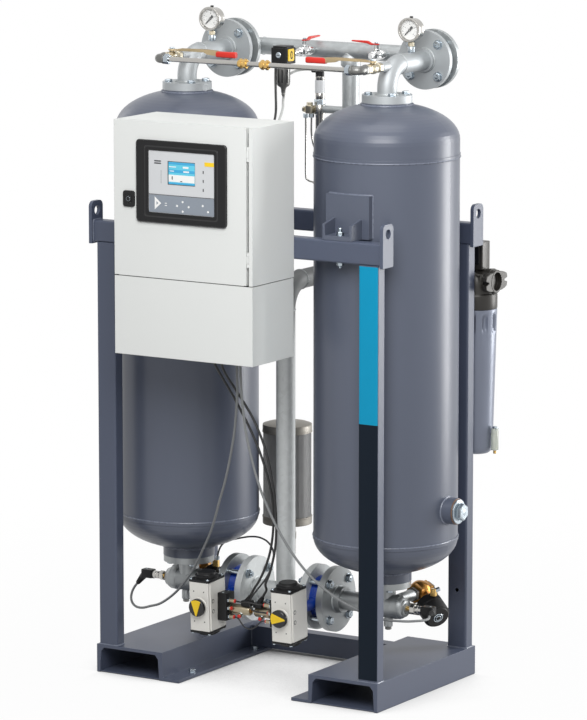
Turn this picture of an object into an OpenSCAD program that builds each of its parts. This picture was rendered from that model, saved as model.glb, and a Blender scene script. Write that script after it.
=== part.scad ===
// Twin-tower desiccant air dryer on a skid frame, sizes in millimetres, +Z up, front towards -Y

/* [Frame] */
// Length of each skid channel, front to back
skid_len = 540; // [520:5:640]
// Width of each skid channel
skid_w = 220; // [200:5:230]
// Height of each skid channel
skid_h = 80; // [70:1:95]
// Overall width across both skids
skid_span = 920; // [900:5:960]
// Thickness of the channel's top web
skid_web = 9; // [7:0.5:12]
// Thickness of the channel's legs at the toe
skid_leg = 10; // [8:0.5:13]
// Width of the foot strip beside each skid
foot_w = 55; // [45:1:65]
// Thickness of the foot strip
foot_t = 8; // [6:0.5:12]
// Diameter of the anchor holes
anchor_d = 18; // [12:0.5:22]
// Distance between the anchor holes of one skid
anchor_y = 332; // [280:2:400]
// Width of a corner post, side to side
post_w = 60; // [50:1:70]
// Depth of a corner post and of a top beam
post_d = 40; // [36:1:50]
// Wall of posts, beams and cross member
post_wall = 4; // [2.5:0.5:6]
// Height of the top beams above the floor
frame_h = 1285; // [1265:1:1320]
// Height of a top beam's section
beam_h = 60; // [50:1:70]
// Thickness of a lifting lug
lug_t = 10; // [8:0.5:15]
// Width of a lifting lug
lug_w = 55; // [50:1:65]
// Height of a lifting lug
lug_h = 118; // [108:1:140]
// Diameter of a lifting eye
eye_d = 26; // [20:0.5:30]

/* [Towers] */
// Outside diameter of a tower
tower_d = 400; // [380:1:410]
// Distance between the tower axes
tower_pitch = 650; // [640:1:670]
// Wall of a tower
tower_wall = 8; // [5:0.5:12]
// Height of the lower tangent line
shell_low = 428; // [420:1:440]
// Straight length of a tower's shell
shell_h = 1107; // [1090:1:1130]
// Depth of a tower's head
head_h = 100; // [92:1:104]
// Outside diameter of the tower necks
neck_d = 138; // [130:1:144]
// Width of a tower bracket
bracket_w = 136; // [120:1:150]
// Thickness of a tower bracket's plates
bracket_t = 12; // [8:0.5:16]
// Height of a fill plug's axis
plug_z = 522; // [505:1:560]
// Outside diameter of a fill boss
boss_d = 74; // [70:1:84]

/* [Top piping] */
// Outside diameter of the cast elbows
elbow_d = 54; // [48:1:58]
// Bore of the elbows, valves and pipes
pipe_bore = 40; // [36:1:42]
// Height of the pipe axis above the tower's neck
elbow_rise = 98; // [94:1:106]
// Distance from the tower axis to the first flange
flange_y = 200; // [196:1:210]
// Diameter of a check valve flange
check_flange_d = 164; // [158:1:170]
// Thickness of a check valve flange
check_flange_t = 14; // [10:0.5:18]
// Length of a check valve body
check_len = 30; // [28:1:36]
// Outside diameter of header and outlet pipe
header_d = 48; // [46:0.5:52]
// Bend radius of the header
header_bend = 57; // [50:1:70]
// Sideways place of the outlet pipe
outlet_x = 20; // [10:1:40]

/* [Purge line] */
// Distance of the purge tube in front of the tower axes
purge_y = 150; // [145:1:165]
// Diameter of the purge tube
purge_d = 14; // [10:0.5:16]
// Length of a purge valve lever
lever_len = 212; // [180:1:230]

/* [Gauges] */
// Diameter of a gauge case
gauge_d = 62; // [58:0.5:66]
// Depth of a gauge case
gauge_depth = 38; // [34:0.5:44]
// Distance of a gauge behind the tower axis
gauge_y = 130; // [124:1:140]

/* [Cabinet] */
// Width of the cabinet and cover
box_w = 443; // [420:1:470]
// Left edge of the cabinet
box_x = -252; // [-270:1:-240]
// Depth of the cabinet in front of the beam
box_d = 210; // [190:1:230]
// Height of the cabinet
box_h = 424; // [400:1:450]
// Height of the lower cover
cover_h = 215; // [190:1:240]
// Sheet thickness of cabinet, door and cover
sheet = 2; // [1.5:0.1:3]
// Width of the display bezel
bezel_w = 288; // [270:1:300]
// Height of the display bezel
bezel_h = 223; // [205:1:230]

/* [Inlet manifold] */
// Height of the manifold axis
manifold_z = 232; // [228:1:236]
// Outside diameter of inlet pipe and manifold
inlet_d = 54; // [50:1:58]
// Diameter of a manifold flange
flange_d = 184; // [178:1:188]
// Thickness of a manifold flange
flange_t = 20; // [16:0.5:24]
// Distance from the middle to a butterfly valve
valve_x = 134; // [130:1:140]
// Length of a butterfly valve body
valve_len = 40; // [38:1:46]
// Diameter of a tee body under a tower
tee_d = 66; // [62:1:72]
// Width of an actuator
act_w = 66; // [60:1:72]
// Depth of an actuator
act_d = 92; // [84:1:100]
// Height of an actuator without its caps
act_h = 139; // [130:1:150]
// Distance of an actuator's front from the manifold axis
act_y = 245; // [240:1:256]

/* [Prefilter and exhaust] */
// Diameter of the prefilter bowl at its top
bowl_d = 116; // [106:1:118]
// Length of the prefilter bowl
bowl_h = 412; // [380:1:440]
// Bore of the inlet port
port_d = 52; // [48:1:54]
// Diameter of the silencer body
silencer_d = 131; // [124:1:134]
// Height of the silencer
silencer_h = 287; // [260:1:310]

/* [Hidden] */
$fn = 64;

// Clearances
fit = 0.4;
hole_gap = 0.6;

// Derived frame places
skid_x = skid_span / 2 - skid_w / 2;
post_inset = 5;
post_x = skid_span / 2 - post_inset - post_w / 2;
post_y = skid_len / 2 - post_inset - post_d / 2;
beam_face = post_y + post_d / 2;
beam_x = skid_span / 2 + 5;
beam_low = frame_h - beam_h;
skid_inner = skid_span / 2 - skid_w;
anchor_in = 32;
anchor_x = skid_inner - anchor_in;
cross_inset = 32;
cross_y = skid_len / 2 - cross_inset - post_d;

// Derived tower places
tower_x = tower_pitch / 2;
tower_r = tower_d / 2;
tower_in = tower_r - tower_wall;
shell_top = shell_low + shell_h;
neck_r = neck_d / 2;
neck_top = shell_top + head_h;
neck_low = shell_low - head_h - 22;
foot_r = neck_r + 4;
tee_flange_t = 18;
ledge_t = 8;
screen_t = 5;
bed_z = shell_low + ledge_t + screen_t;
bed_h = shell_h - 75;
plug_r = boss_d / 2 - 7;
boss_end = tower_r + 27;
neck_bolt_r = neck_r - 16;
head_steps = 16;
bracket_bolt_r = 6;
tray_w = 92;
pad_h = 118;
gusset_t = 8;
gusset_front = 30;
gusset_back = 44;

// Derived top piping places
line_z = neck_top + elbow_rise;
elbow_r = elbow_d / 2;
bore_r = pipe_bore / 2;
elbow_bend = 62;
elbow_flange_t = 21;
check_y = flange_y + check_flange_t;
header_flange_y = check_y + check_len;
header_pipe_y = header_flange_y + check_flange_t;
header_y = header_pipe_y + header_bend;
check_bolt_r = check_flange_d / 2 - 19.5;
check_body_r = check_bolt_r - 9;
check_disc_r = bore_r + 8;
header_r = header_d / 2;
weld_gap = 0.3;
outlet_stub = 34;
outlet_bolt_r = 56;
outlet_end_z = frame_h - 130;

// Derived purge line places
purge_boss_y = 38;
purge_valve_len = 74;
purge_stem_y = 75;
purge_fit_r = 13;
purge_end = 40;
lever_low = 16;
lever_hub_r = 11;
grip_len = 64;
grip_drop = 7.5;

// Derived gauge places
gauge_r = gauge_d / 2;
gauge_z = line_z + elbow_r + 15 + 13 + gauge_r + 3;
gauge_front = gauge_y - 18;

// Derived pilot places
pilot_x = -86;
sample_x = 150;
header_front = header_y - header_d / 2;
mini_boss_y = header_front - 20;
mini_len = 60;
mini_y = mini_boss_y - 32;
mini_lever_z = line_z + header_d / 2 + 6;
filter_back = mini_boss_y - mini_len - 60;
filter_w = 52;
filter_d = 50;
filter_h = 50;
sensor_x = outlet_x - 102;
sensor_z = line_z - 170;
sensor_block = 28;
sensor_body = 76;
sensor_cell_r = 13;
sensor_nut_r = 15;
sensor_nut_h = 15;
sensor_sleeve_r = 13.5;
sensor_sleeve_h = 66;
sensor_cap_r = 12;
sensor_cap_h = 26;
sensor_lead_r = 8;
sensor_lead_len = 26;

// Derived cabinet places
box_y = -(beam_face + box_d);
box_low = frame_h - 109;
box_top = box_low + box_h;
box_right = box_x + box_w;
cover_top = box_low - 2;
cover_low = cover_top - cover_h;
door_depth = 18;
hinge_return = 11;
body_front = box_y + 20;
rail_w = 11.5;
hinge_side = 4;
hinge_x = box_right - rail_w - hinge_side;
hinge_y = box_y + 2;
door_w = hinge_x - hinge_side - box_x;
knuckle_r = 3;
pin_r = 1.6;
lip = 14;
hinge_zs = [box_low + 70, box_top - 70];
bezel_x = box_x + 76;
bezel_z = box_low + 152;
bezel_t = 6;
panel_inset = 38;
panel_low = 27;
panel_t = 3;
panel_w = bezel_w - 2 * panel_inset;
panel_h = bezel_h - 2 * panel_low;
unit_gap = 6;
latch_x = box_x + 50;
latch_z = box_low + 211;
latch_r = 11;
plate_y = -(beam_face + 10);
gland_z = cover_low + 26;
gland_places = [[-30, -325], [0, -335], [42, -320], [72, -350]];
back_gland_x = [-70, -20];
back_gland_z = frame_h + 170;
supply_w = 120;
relay_w = 90;
module_h = 90;
module_z = 270;
strip_len = 300;
strip_z = 90;
module_side = 60;
module_gap = 20;
supply_d = 60;
relay_d = 50;
strip_d = 40;
strip_h = 45;
slot_side = 6;
slot_z = 10;
slot_w = 5;
slot_d = 11;
slot_h = 25;
screen_w = 86;
screen_h = 62;

// Derived manifold places
flange_r = flange_d / 2;
valve_half = valve_len / 2;
manifold_bolt_r = flange_r - 19.5;
valve_body_r = manifold_bolt_r - 11;
disc_r = bore_r - 0.5;
valve_bore_r = bore_r;
inlet_r = inlet_d / 2;
tee_r = tee_d / 2;
tee_end = tower_x + 67;
act_back = act_y - act_d;
valve_tilt = 3;
cap_plate = 7;
cap_dome = 17;
cap_dome_r = 31;
foot_cap = 10;
knob_r = 25;
shaft_r = 6;
inlet_z = frame_h - 173;
inlet_bend = 76;
coil_x = 20;
coil_y = -170;
coil_top = manifold_z + 6;
coil_out = [0.55, -0.2, 0.81];
coil_gland = 22;
coil_gland_r = 6;
coil_d = 30;
coil_h = 34;
coil_drop = 46;
coil_plug_w = 28;
coil_plug_h = 13;
solenoid_w = 30;
solenoid_y = -200;
solenoid_d = 44;
solenoid_h = 78;
solenoid_drop = 60;
plug_start = tee_end + 54;
plug_len = 36;
plug_tail = 44;
left_plug_out = [-0.65, 0, -0.76];
right_plug_out = [0.35, -0.9, -0.1];

// Derived prefilter places
filter_y = beam_face + bowl_d / 2 + 3;
prefilter_x = post_x + 1;
port_flange_w = 118;
port_flange_h = 34;
port_flange_t = 14;
port_flange_r = 16;
port_hub_r = 33;
filter_head_d = 80;
filter_head_h = 66;
filter_head_drop = 38;
filter_foot_w = 32;
filter_foot_d = 40;
filter_foot_h = 56;
filter_foot_drop = 30;
indicator_w = 58;
indicator_d = 44;
indicator_h = 90;
indicator_sink = 12;
head_half = 64;
bowl_r = bowl_d / 2;
head_low = inlet_z - 78;
head_top = inlet_z + 32;
bowl_low = head_low - bowl_h;

// Derived exhaust places
exhaust_z = manifold_z + 22;
exhaust_x = tower_x + 45;
exhaust_in = 82;
exhaust_out = 150;
exhaust_mid = (exhaust_in + exhaust_out) / 2;
exhaust_r = 16;
exhaust_bend = 35;
exhaust_y = exhaust_out + exhaust_bend;
exhaust_low = exhaust_z - 2 * exhaust_bend;
silencer_x = -110;
silencer_low = exhaust_z + 133;
silencer_r = silencer_d / 2;
stem_h = 90;
stem_r = 24;
right_brace = [0.76, -0.46, -0.46];
left_brace = [0.76, -0.2, -0.46];
bonnet_h = 50;

// Cord routes, points chosen by hand
cable_d = 7;
left_transducer_route = [
    [-502.8, 0, 198.4], [-511.9, 0, 187.8], [-519, -3, 172], [-519, -8, 155], [-510, -14, 142],
    [-491, -22, 135], [-464, -30, 137], [-433, -38, 147], [-393, -52, 161], [-353, -66, 184],
    [-312, -82, 214], [-277, -98, 246], [-243, -114, 281], [-211, -130, 321], [-181, -146, 363],
    [-148, -164, 411], [-118, -184, 463], [-90, -204, 518], [-61, -224, 572], [-35, -244, 626],
    [-12, -262, 682], [9, -280, 740], [25, -296, 800], [36, -308, 855], [41, -317, 904],
    [42, -320, 940], [42, -320, 973]
];
right_transducer_route = [
    [72, -350, 973], [72, -350, 940], [73, -349, 903], [74, -346, 853], [77, -340, 795],
    [80, -333, 745], [89, -325, 688], [100, -318, 636], [113, -311, 588], [130, -304, 542],
    [149, -297, 498], [172, -289, 454], [199, -279, 410], [228, -266, 369], [259, -250, 333],
    [291, -231, 302], [322, -211, 277], [351, -190, 257], [379, -168, 240], [412, -148, 230],
    [442, -131, 227], [466, -117, 226], [484, -100, 226], [494.5, -80, 225], [497.1, -59.3, 225.4],
    [489.9, -40.8, 227.5]
];
left_solenoid_route = [
    [-30, -325, 973], [-30, -325, 951], [-28, -321, 926], [-21, -313, 905], [-11, -301, 878],
    [8, -284, 834], [25, -273, 795], [43, -268, 760], [63, -266, 722], [82, -265, 681],
    [98, -264, 640], [109, -261, 599], [115, -256, 560], [115, -250, 520], [109, -240, 475],
    [97, -228, 428], [79, -215, 382], [56, -202, 340], [32, -190, 304], [9.5, -180.8, 277.5],
    [-0.1, -177.3, 263.3], [-7.8, -174.5, 252]
];
right_solenoid_route = [
    [0, -335, 973], [0, -335, 951], [1, -330, 924], [5, -314, 896], [19, -295, 860],
    [38, -281, 822], [64, -277, 782], [85, -276, 743], [104, -276, 700], [118, -276, 653],
    [127, -273, 603], [132, -269, 556], [132, -263, 507], [125, -251, 457], [113, -238, 410],
    [95, -223, 367], [75, -208, 328], [55, -195, 298], [49.5, -181.5, 277.5], [39.9, -177.3, 263.3],
    [32.2, -174.5, 252]
];
dew_point_route = [
    [-108, 315, 1673], [-124, 315, 1673], [-139, 309, 1672], [-149, 296, 1669], [-152, 276, 1665],
    [-146, 248, 1659], [-133, 216, 1648], [-118, 186, 1633], [-103, 156, 1617], [-87, 126, 1602],
    [-69, 96, 1588], [-57, 68, 1573], [-48, 40, 1556], [-41, 10, 1536], [-34, -20, 1518],
    [-29, -60, 1500], [-25, -105, 1482], [-22, -150, 1468], [-20, -195, 1458], [-20, -225, 1455],
    [-20, -251, 1455]
];
pilot_hose_route = [
    [-98, 104, 1700], [-98, 104, 1684], [-97, 102, 1664], [-94, 98, 1640], [-91, 94, 1618],
    [-86, 87, 1596], [-80, 76, 1574], [-75, 60, 1552], [-71, 38, 1532], [-70, 12, 1514],
    [-70, -18, 1499], [-70, -50, 1486], [-70, -85, 1475], [-70, -125, 1465], [-70, -168, 1458],
    [-70, -210, 1455], [-70, -251, 1455]
];

// Round bars and bends
module bar_x(r, x0, x1) {
    translate([x0, 0, 0]) rotate([0, 90, 0]) cylinder(r = r, h = x1 - x0);
}

module bar_y(r, y0, y1) {
    translate([0, y0, 0]) rotate([-90, 0, 0]) cylinder(r = r, h = y1 - y0);
}

module hex_x(r, x0, x1) {
    translate([x0, 0, 0]) rotate([0, 90, 0]) cylinder(r = r, h = x1 - x0, $fn = 6);
}

module hex_y(r, y0, y1) {
    translate([0, y0, 0]) rotate([-90, 0, 0]) cylinder(r = r, h = y1 - y0, $fn = 6);
}

module quarter_bend(bend, r) {
    rotate_extrude(angle = 90) translate([bend, 0]) circle(r = r);
}

// Flat plate with rounded corners, drawn in 2D
module round_rect(w, h, r) {
    square([w - 2 * r, h], center = true);
    square([w, h - 2 * r], center = true);
    for (sx = [-1, 1], sy = [-1, 1])
        translate([sx * (w / 2 - r), sy * (h / 2 - r)]) circle(r = r, $fn = 32);
}

// Plate standing in the X-Z plane, its front at y0
module front_plate(w, h, r, y0, y1) {
    translate([0, y1, 0]) rotate([90, 0, 0]) linear_extrude(y1 - y0) round_rect(w, h, r);
}

// Copies for both sides of the machine
module both_sides() {
    children();
    mirror([1, 0, 0]) children();
}

module front_and_rear() {
    children();
    mirror([0, 1, 0]) children();
}

// Tube swept along a list of points
function unit(v) = v / norm(v);
function tangent(p, i) = unit(p[min(i + 1, len(p) - 1)] - p[max(i - 1, 0)]);
function side_of(t) = unit(cross(t, abs(t[1]) > 0.9 ? [1, 0.2, 0.3] : [0.2, 1, 0.1]));
function ring_at(p, i, r, n) = let (t = tangent(p, i), s = side_of(t), u = cross(t, s))
    [for (k = [0 : n - 1]) p[i] + r * (cos(360 * k / n) * s + sin(360 * k / n) * u)];

module swept_tube(p, d) {
    sides = 8;
    rings = len(p);
    pts = [for (i = [0 : rings - 1]) each ring_at(p, i, d / 2, sides)];
    walls = [for (i = [0 : rings - 2], k = [0 : sides - 1])
        let (a = i * sides + k, b = i * sides + (k + 1) % sides) each [[a, b, a + sides], [b, b + sides, a + sides]]];
    first = [[for (k = [0 : sides - 1]) sides - 1 - k]];
    last = [[for (k = [0 : sides - 1]) (rings - 1) * sides + k]];
    polyhedron(points = pts, faces = concat(walls, first, last), convexity = 8);
}

// Skid channel, web on top and legs down, with its foot strip
module skid_right() {
    inner = skid_w / 2 - skid_leg;
    translate([skid_x, skid_len / 2, 0]) rotate([90, 0, 0]) linear_extrude(skid_len) difference() {
        translate([-skid_w / 2, 0]) square([skid_w, skid_h]);
        polygon([
            [-inner, -1], [inner, -1], [inner - 4, skid_h - skid_web - 12], [inner - 14, skid_h - skid_web],
            [-inner + 14, skid_h - skid_web], [-inner + 4, skid_h - skid_web - 12]
        ]);
    }
    difference() {
        translate([skid_inner - foot_w, -skid_len / 2, 0]) cube([foot_w + 2, skid_len, foot_t]);
        for (s = [-1, 1])
            translate([anchor_x, s * anchor_y / 2, -1]) cylinder(d = anchor_d, h = foot_t + 2);
    }
}

module right_skid() { color("slategray") skid_right(); }
module left_skid() { color("slategray") mirror([1, 0, 0]) skid_right(); }

// Tube between the skids, standing on the foot strips
module cross_member() {
    color("slategray") translate([-skid_inner, cross_y, foot_t]) difference() {
        cube([2 * skid_inner, post_d, beam_h]);
        translate([-1, post_wall, post_wall])
            cube([2 * skid_inner + 2, post_d - 2 * post_wall, beam_h - 2 * post_wall]);
    }
}

// Corner posts of rectangular tube
module corner_posts() {
    color("slategray") both_sides() front_and_rear() translate([post_x, -post_y, skid_h]) difference() {
        linear_extrude(beam_low - skid_h) round_rect(post_w, post_d, 6);
        translate([0, 0, -1]) linear_extrude(beam_low - skid_h + 2)
            round_rect(post_w - 2 * post_wall, post_d - 2 * post_wall, 3);
        translate([0, 0, manifold_z + 13 - skid_h]) bar_y(6, 5, post_d);
    }
}

// Top beams with the holes for the bracket bolts
module top_beams() {
    color("slategray") front_and_rear() difference() {
        translate([-beam_x, -post_y, frame_h - beam_h / 2]) rotate([90, 0, 90]) linear_extrude(2 * beam_x)
            difference() {
                round_rect(post_d, beam_h, 6);
                round_rect(post_d - 2 * post_wall, beam_h - 2 * post_wall, 3);
            }
        both_sides() bracket_bolt_place() translate([0, 0, -beam_h - 1])
            cylinder(r = bracket_bolt_r + hole_gap, h = beam_h + 2);
    }
}

module bracket_bolt_place() {
    translate([tower_x, -post_y, frame_h]) children();
}

// Lifting lugs welded on the beam ends
module lifting_lugs() {
    eye_z = lug_h - 27;
    color("slategray") both_sides() front_and_rear() translate([beam_x, -post_y, beam_low - 5])
        rotate([90, 0, 90]) linear_extrude(lug_t) difference() {
            union() {
                translate([0, lug_h / 2]) round_rect(lug_w, lug_h, 16);
                translate([-lug_w / 2, 0]) square([lug_w, lug_h / 2]);
            }
            translate([0, eye_z]) circle(d = eye_d);
        }
}

// Outline of a tower: ellipse heads, necks and a joggled seam at each head
function head_arc(r, h, z, up) = [for (i = [0 : head_steps])
    let (a = 90 * i / head_steps) [max(r * cos(a), 0), z + (up ? 1 : -1) * h * sin(a)]];

module shell_outline() {
    polygon(concat(head_arc(tower_r, head_h, shell_top, true), [[0, shell_low]]));
    polygon(concat(head_arc(tower_r, head_h, shell_low, false), [[0, shell_low + 1]]));
    translate([0, shell_low]) square([tower_r, shell_h]);
    translate([0, shell_top - 46]) square([tower_r + 1.5, 8]);
    translate([0, shell_low - 3]) square([tower_r + 1.5, 8]);
    translate([0, shell_top]) square([neck_r, head_h]);
    translate([0, neck_low]) square([foot_r, shell_low - neck_low]);
}

module shell_hollow() {
    polygon(concat(head_arc(tower_in, head_h - tower_wall, shell_top, true), [[0, shell_low]]));
    polygon(concat(head_arc(tower_in, head_h - tower_wall, shell_low, false), [[0, shell_low + 1]]));
    translate([0, shell_low]) square([tower_in, shell_h]);
    translate([0, neck_low - 1]) square([bore_r, neck_top - neck_low + 2]);
}

module tower_bracket() {
    translate([-tray_w / 2, -beam_face + 3, frame_h]) cube([tray_w, beam_face - 3 - tower_r / 2, bracket_t]);
    translate([-bracket_w / 2, -tower_r - 8, frame_h]) cube([bracket_w, tower_r / 2, pad_h]);
    for (s = [-1, 1])
        translate([s * (tray_w - gusset_t) / 2 - gusset_t / 2, 0, frame_h + bracket_t]) rotate([90, 0, 90])
            linear_extrude(gusset_t) polygon([
                [-beam_face + 3, -1], [-tower_r, -1], [-tower_r, gusset_back], [-beam_face + 3, gusset_front]
            ]);
}

module tower_right() {
    difference() {
        union() {
            rotate_extrude($fn = 96) shell_outline();
            front_and_rear() tower_bracket();
            translate([0, 0, plug_z]) bar_x(boss_d / 2, tower_in, boss_end);
        }
        rotate_extrude($fn = 96) difference() {
            shell_hollow();
            translate([tower_in - 16, shell_low]) square([17, ledge_t]);
        }
        translate([0, 0, plug_z]) bar_x(plug_r + fit, tower_in - 20, boss_end + 1);
        front_and_rear() translate([-tower_x, 0, 0]) bracket_bolt_place() translate([0, 0, -1])
            cylinder(r = bracket_bolt_r + hole_gap, h = bracket_t + 2);
        for (a = [45 : 90 : 315]) rotate(a) {
            translate([neck_bolt_r, 0, neck_top - 9]) cylinder(r = 6 + hole_gap, h = 10);
            translate([neck_bolt_r, 0, neck_low - 1]) cylinder(r = 6 + hole_gap, h = 17);
        }
    }
}

module right_tower() { color("slategray") translate([tower_x, 0, 0]) tower_right(); }
module left_tower() { color("slategray") mirror([1, 0, 0]) translate([tower_x, 0, 0]) tower_right(); }

// Desiccant beds and the screens that hold them
module desiccant_beds() {
    color("ivory") both_sides() translate([tower_x, 0, bed_z]) cylinder(r = tower_in - 1, h = bed_h, $fn = 96);
}

module bed_screen() {
    difference() {
        cylinder(r = tower_in - 1, h = screen_t, $fn = 96);
        for (a = [0 : 30 : 330])
            rotate(a) translate([tower_in * 0.68, 0, -1]) cylinder(r = 12, h = screen_t + 2, $fn = 24);
        for (a = [0 : 60 : 300])
            rotate(a) translate([tower_in * 0.34, 0, -1]) cylinder(r = 12, h = screen_t + 2, $fn = 24);
    }
}

module bed_screens() {
    color("silver") both_sides() {
        translate([tower_x, 0, bed_z - screen_t]) bed_screen();
        translate([tower_x, 0, bed_z + bed_h]) bed_screen();
    }
}

// Fill plugs screwed into the tower bosses
module fill_plugs() {
    color("silver") both_sides() translate([tower_x, 0, plug_z]) {
        bar_x(plug_r, tower_in, boss_end);
        bar_x(boss_d / 2 - 3, boss_end, boss_end + 8);
        hex_x(boss_d / 2 - 13, boss_end + 8, boss_end + 24);
    }
}

// Cast elbow from a tower's neck to the check valve
module outlet_elbow() {
    difference() {
        union() {
            translate([0, 0, neck_top]) cylinder(r = neck_r, h = elbow_flange_t);
            translate([0, 0, neck_top + elbow_flange_t]) cylinder(r = elbow_r + 4, h = 5);
            translate([0, 0, neck_top]) cylinder(r = elbow_r, h = elbow_rise - elbow_bend);
            translate([0, elbow_bend, line_z - elbow_bend]) rotate([0, 90, 180]) rotate([0, 0, 90])
                quarter_bend(elbow_bend, elbow_r);
            translate([0, 0, line_z]) {
                bar_y(elbow_r, elbow_bend, flange_y + 2);
                bar_y(elbow_r + 6, flange_y - 9, flange_y + 2);
                bar_y(check_flange_d / 2, flange_y, check_y);
                bar_y(14, -purge_boss_y, 0);
                translate([0, gauge_y, 0]) cylinder(r = 9, h = elbow_r + 15);
            }
        }
        translate([0, 0, neck_top - 1]) cylinder(r = bore_r, h = elbow_rise - elbow_bend + 1);
        translate([0, elbow_bend, line_z - elbow_bend]) rotate([0, 90, 180]) rotate([0, 0, 90])
            quarter_bend(elbow_bend, bore_r);
        translate([0, 0, line_z]) bar_y(bore_r, elbow_bend, check_y + 1);
        neck_bolt_places() translate([0, 0, -1]) cylinder(r = 6 + hole_gap, h = elbow_flange_t + 2);
        check_bolt_places() bar_y(7 + hole_gap, flange_y - 1, check_y + 1);
    }
}

module neck_bolt_places() {
    for (a = [45 : 90 : 315]) rotate(a) translate([neck_bolt_r, 0, neck_top]) children();
}

module check_bolt_places() {
    for (a = [45 : 90 : 315])
        translate([check_bolt_r * cos(a), 0, line_z + check_bolt_r * sin(a)]) children();
}

module outlet_elbows() { color("silver") both_sides() translate([tower_x, 0, 0]) outlet_elbow(); }

// Wafer check valves between the flanges, each with a sliding disc
module check_valves() {
    color("gray") both_sides() translate([tower_x, 0, line_z]) difference() {
        bar_y(check_body_r, check_y, header_flange_y);
        bar_y(bore_r, check_y - 1, header_flange_y + 1);
        bar_y(check_disc_r + fit, check_y + 7, header_flange_y + 1);
    }
}

module check_disc(side) {
    translate([side * tower_x, 0, line_z]) difference() {
        bar_y(check_disc_r, check_y + 7.3, check_y + 12);
        for (a = [0 : 90 : 270]) rotate([0, a, 0]) translate([check_disc_r, 0, 0]) bar_y(3, check_y, check_y + 14);
    }
}

module left_check_disc() { color("silver") check_disc(-1); }
module right_check_disc() { color("silver") check_disc(1); }

// Outlet header: two flanged legs, the bar between them and the drop pipe, welded together
module header_leg() {
    translate([tower_x, 0, line_z]) difference() {
        union() {
            bar_y(check_flange_d / 2, header_flange_y, header_pipe_y);
            translate([-header_bend, header_pipe_y, 0]) quarter_bend(header_bend, header_r);
        }
        bar_y(bore_r, header_flange_y - 1, header_pipe_y);
        translate([-header_bend, header_pipe_y, 0]) quarter_bend(header_bend, bore_r);
        translate([0, 0, -line_z]) check_bolt_places() bar_y(7 + hole_gap, header_flange_y - 1, header_pipe_y + 1);
    }
}

module header_bar() {
    reach = tower_x - header_bend - weld_gap;
    difference() {
        union() {
            translate([0, header_y, line_z]) bar_x(header_r, -reach, reach);
            for (x = [pilot_x, sample_x]) translate([x, 0, line_z]) bar_y(9, mini_boss_y, header_y);
        }
        translate([0, header_y, line_z]) bar_x(bore_r, -reach - 1, reach + 1);
        translate([outlet_x, header_y, line_z - header_d]) cylinder(r = bore_r, h = header_d);
    }
}

module drop_run(r, cut) {
    run_y = header_y + header_bend;
    translate([outlet_x, header_y, outlet_end_z + header_bend]) cylinder(r = r, h = line_z - outlet_end_z - header_bend);
    translate([outlet_x, run_y, outlet_end_z + header_bend]) rotate([90, 0, -90]) rotate([0, 0, 270])
        quarter_bend(header_bend, r);
    translate([outlet_x, 0, outlet_end_z]) bar_y(r, run_y, run_y + outlet_stub + cut);
}

module outlet_drop() {
    end_y = header_y + header_bend + outlet_stub;
    difference() {
        union() {
            drop_run(header_r, 0);
            translate([outlet_x, 0, outlet_end_z]) bar_y(outlet_bolt_r + 19, end_y - 16, end_y);
            translate([0, header_y, sensor_z]) bar_x(11, sensor_x + sensor_block / 2, outlet_x);
            translate([outlet_x - 20, beam_face, frame_h - 46]) cube([40, header_y - beam_face, 32]);
        }
        drop_run(bore_r, 1);
        translate([0, header_y, line_z]) bar_x(header_r + weld_gap, outlet_x - header_d, outlet_x + header_d);
        for (a = [45 : 90 : 315]) translate([outlet_x + outlet_bolt_r * cos(a), 0, outlet_end_z + outlet_bolt_r * sin(a)])
            bar_y(9, end_y - 24, end_y + 6);
    }
}

module outlet_header() {
    color("silver") {
        both_sides() header_leg();
        header_bar();
        outlet_drop();
    }
}

// All bolts and nuts of flanges and brackets
module neck_bolt() {
    translate([0, 0, -8]) cylinder(r = 6, h = elbow_flange_t + 8);
    translate([0, 0, elbow_flange_t]) cylinder(r = 10.5, h = 8, $fn = 6);
}

module foot_bolt() {
    translate([0, 0, neck_low - tee_flange_t]) cylinder(r = 6, h = tee_flange_t + 14);
    translate([0, 0, neck_low - tee_flange_t - 8]) cylinder(r = 10.5, h = 8, $fn = 6);
}

module check_bolt() {
    bar_y(7, flange_y - 1, header_pipe_y + 18);
    hex_y(12, flange_y - 10, flange_y);
    hex_y(12, header_pipe_y, header_pipe_y + 12);
}

module manifold_bolt() {
    bar_x(7, valve_x - valve_half - flange_t - 18, valve_x + valve_half + flange_t + 1);
    hex_x(12, valve_x + valve_half + flange_t, valve_x + valve_half + flange_t + 10);
    hex_x(12, valve_x - valve_half - flange_t - 12, valve_x - valve_half - flange_t);
}

module bracket_bolt() {
    translate([0, 0, -beam_h - 16]) cylinder(r = bracket_bolt_r, h = beam_h + bracket_t + 17);
    translate([0, 0, bracket_t]) cylinder(r = 10.5, h = 8, $fn = 6);
    translate([0, 0, -beam_h - 10]) cylinder(r = 10.5, h = 10, $fn = 6);
}

module manifold_bolt_places() {
    for (a = [45 : 90 : 315])
        translate([0, manifold_bolt_r * cos(a), manifold_z + manifold_bolt_r * sin(a)]) children();
}

module flange_bolts() {
    color("gainsboro") both_sides() {
        translate([tower_x, 0, 0]) {
            neck_bolt_places() neck_bolt();
            for (a = [45 : 90 : 315]) rotate(a) translate([neck_bolt_r, 0, 0]) foot_bolt();
            check_bolt_places() check_bolt();
        }
        manifold_bolt_places() manifold_bolt();
        front_and_rear() bracket_bolt_place() bracket_bolt();
    }
}

// Purge tube with its two unions
module purge_tube() {
    color("silver") translate([0, -purge_y, line_z]) {
        bar_x(purge_d / 2, -tower_x + purge_end, tower_x - purge_end);
        for (x = [-43, 27]) hex_x(14, x - 12, x + 12);
    }
}

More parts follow.
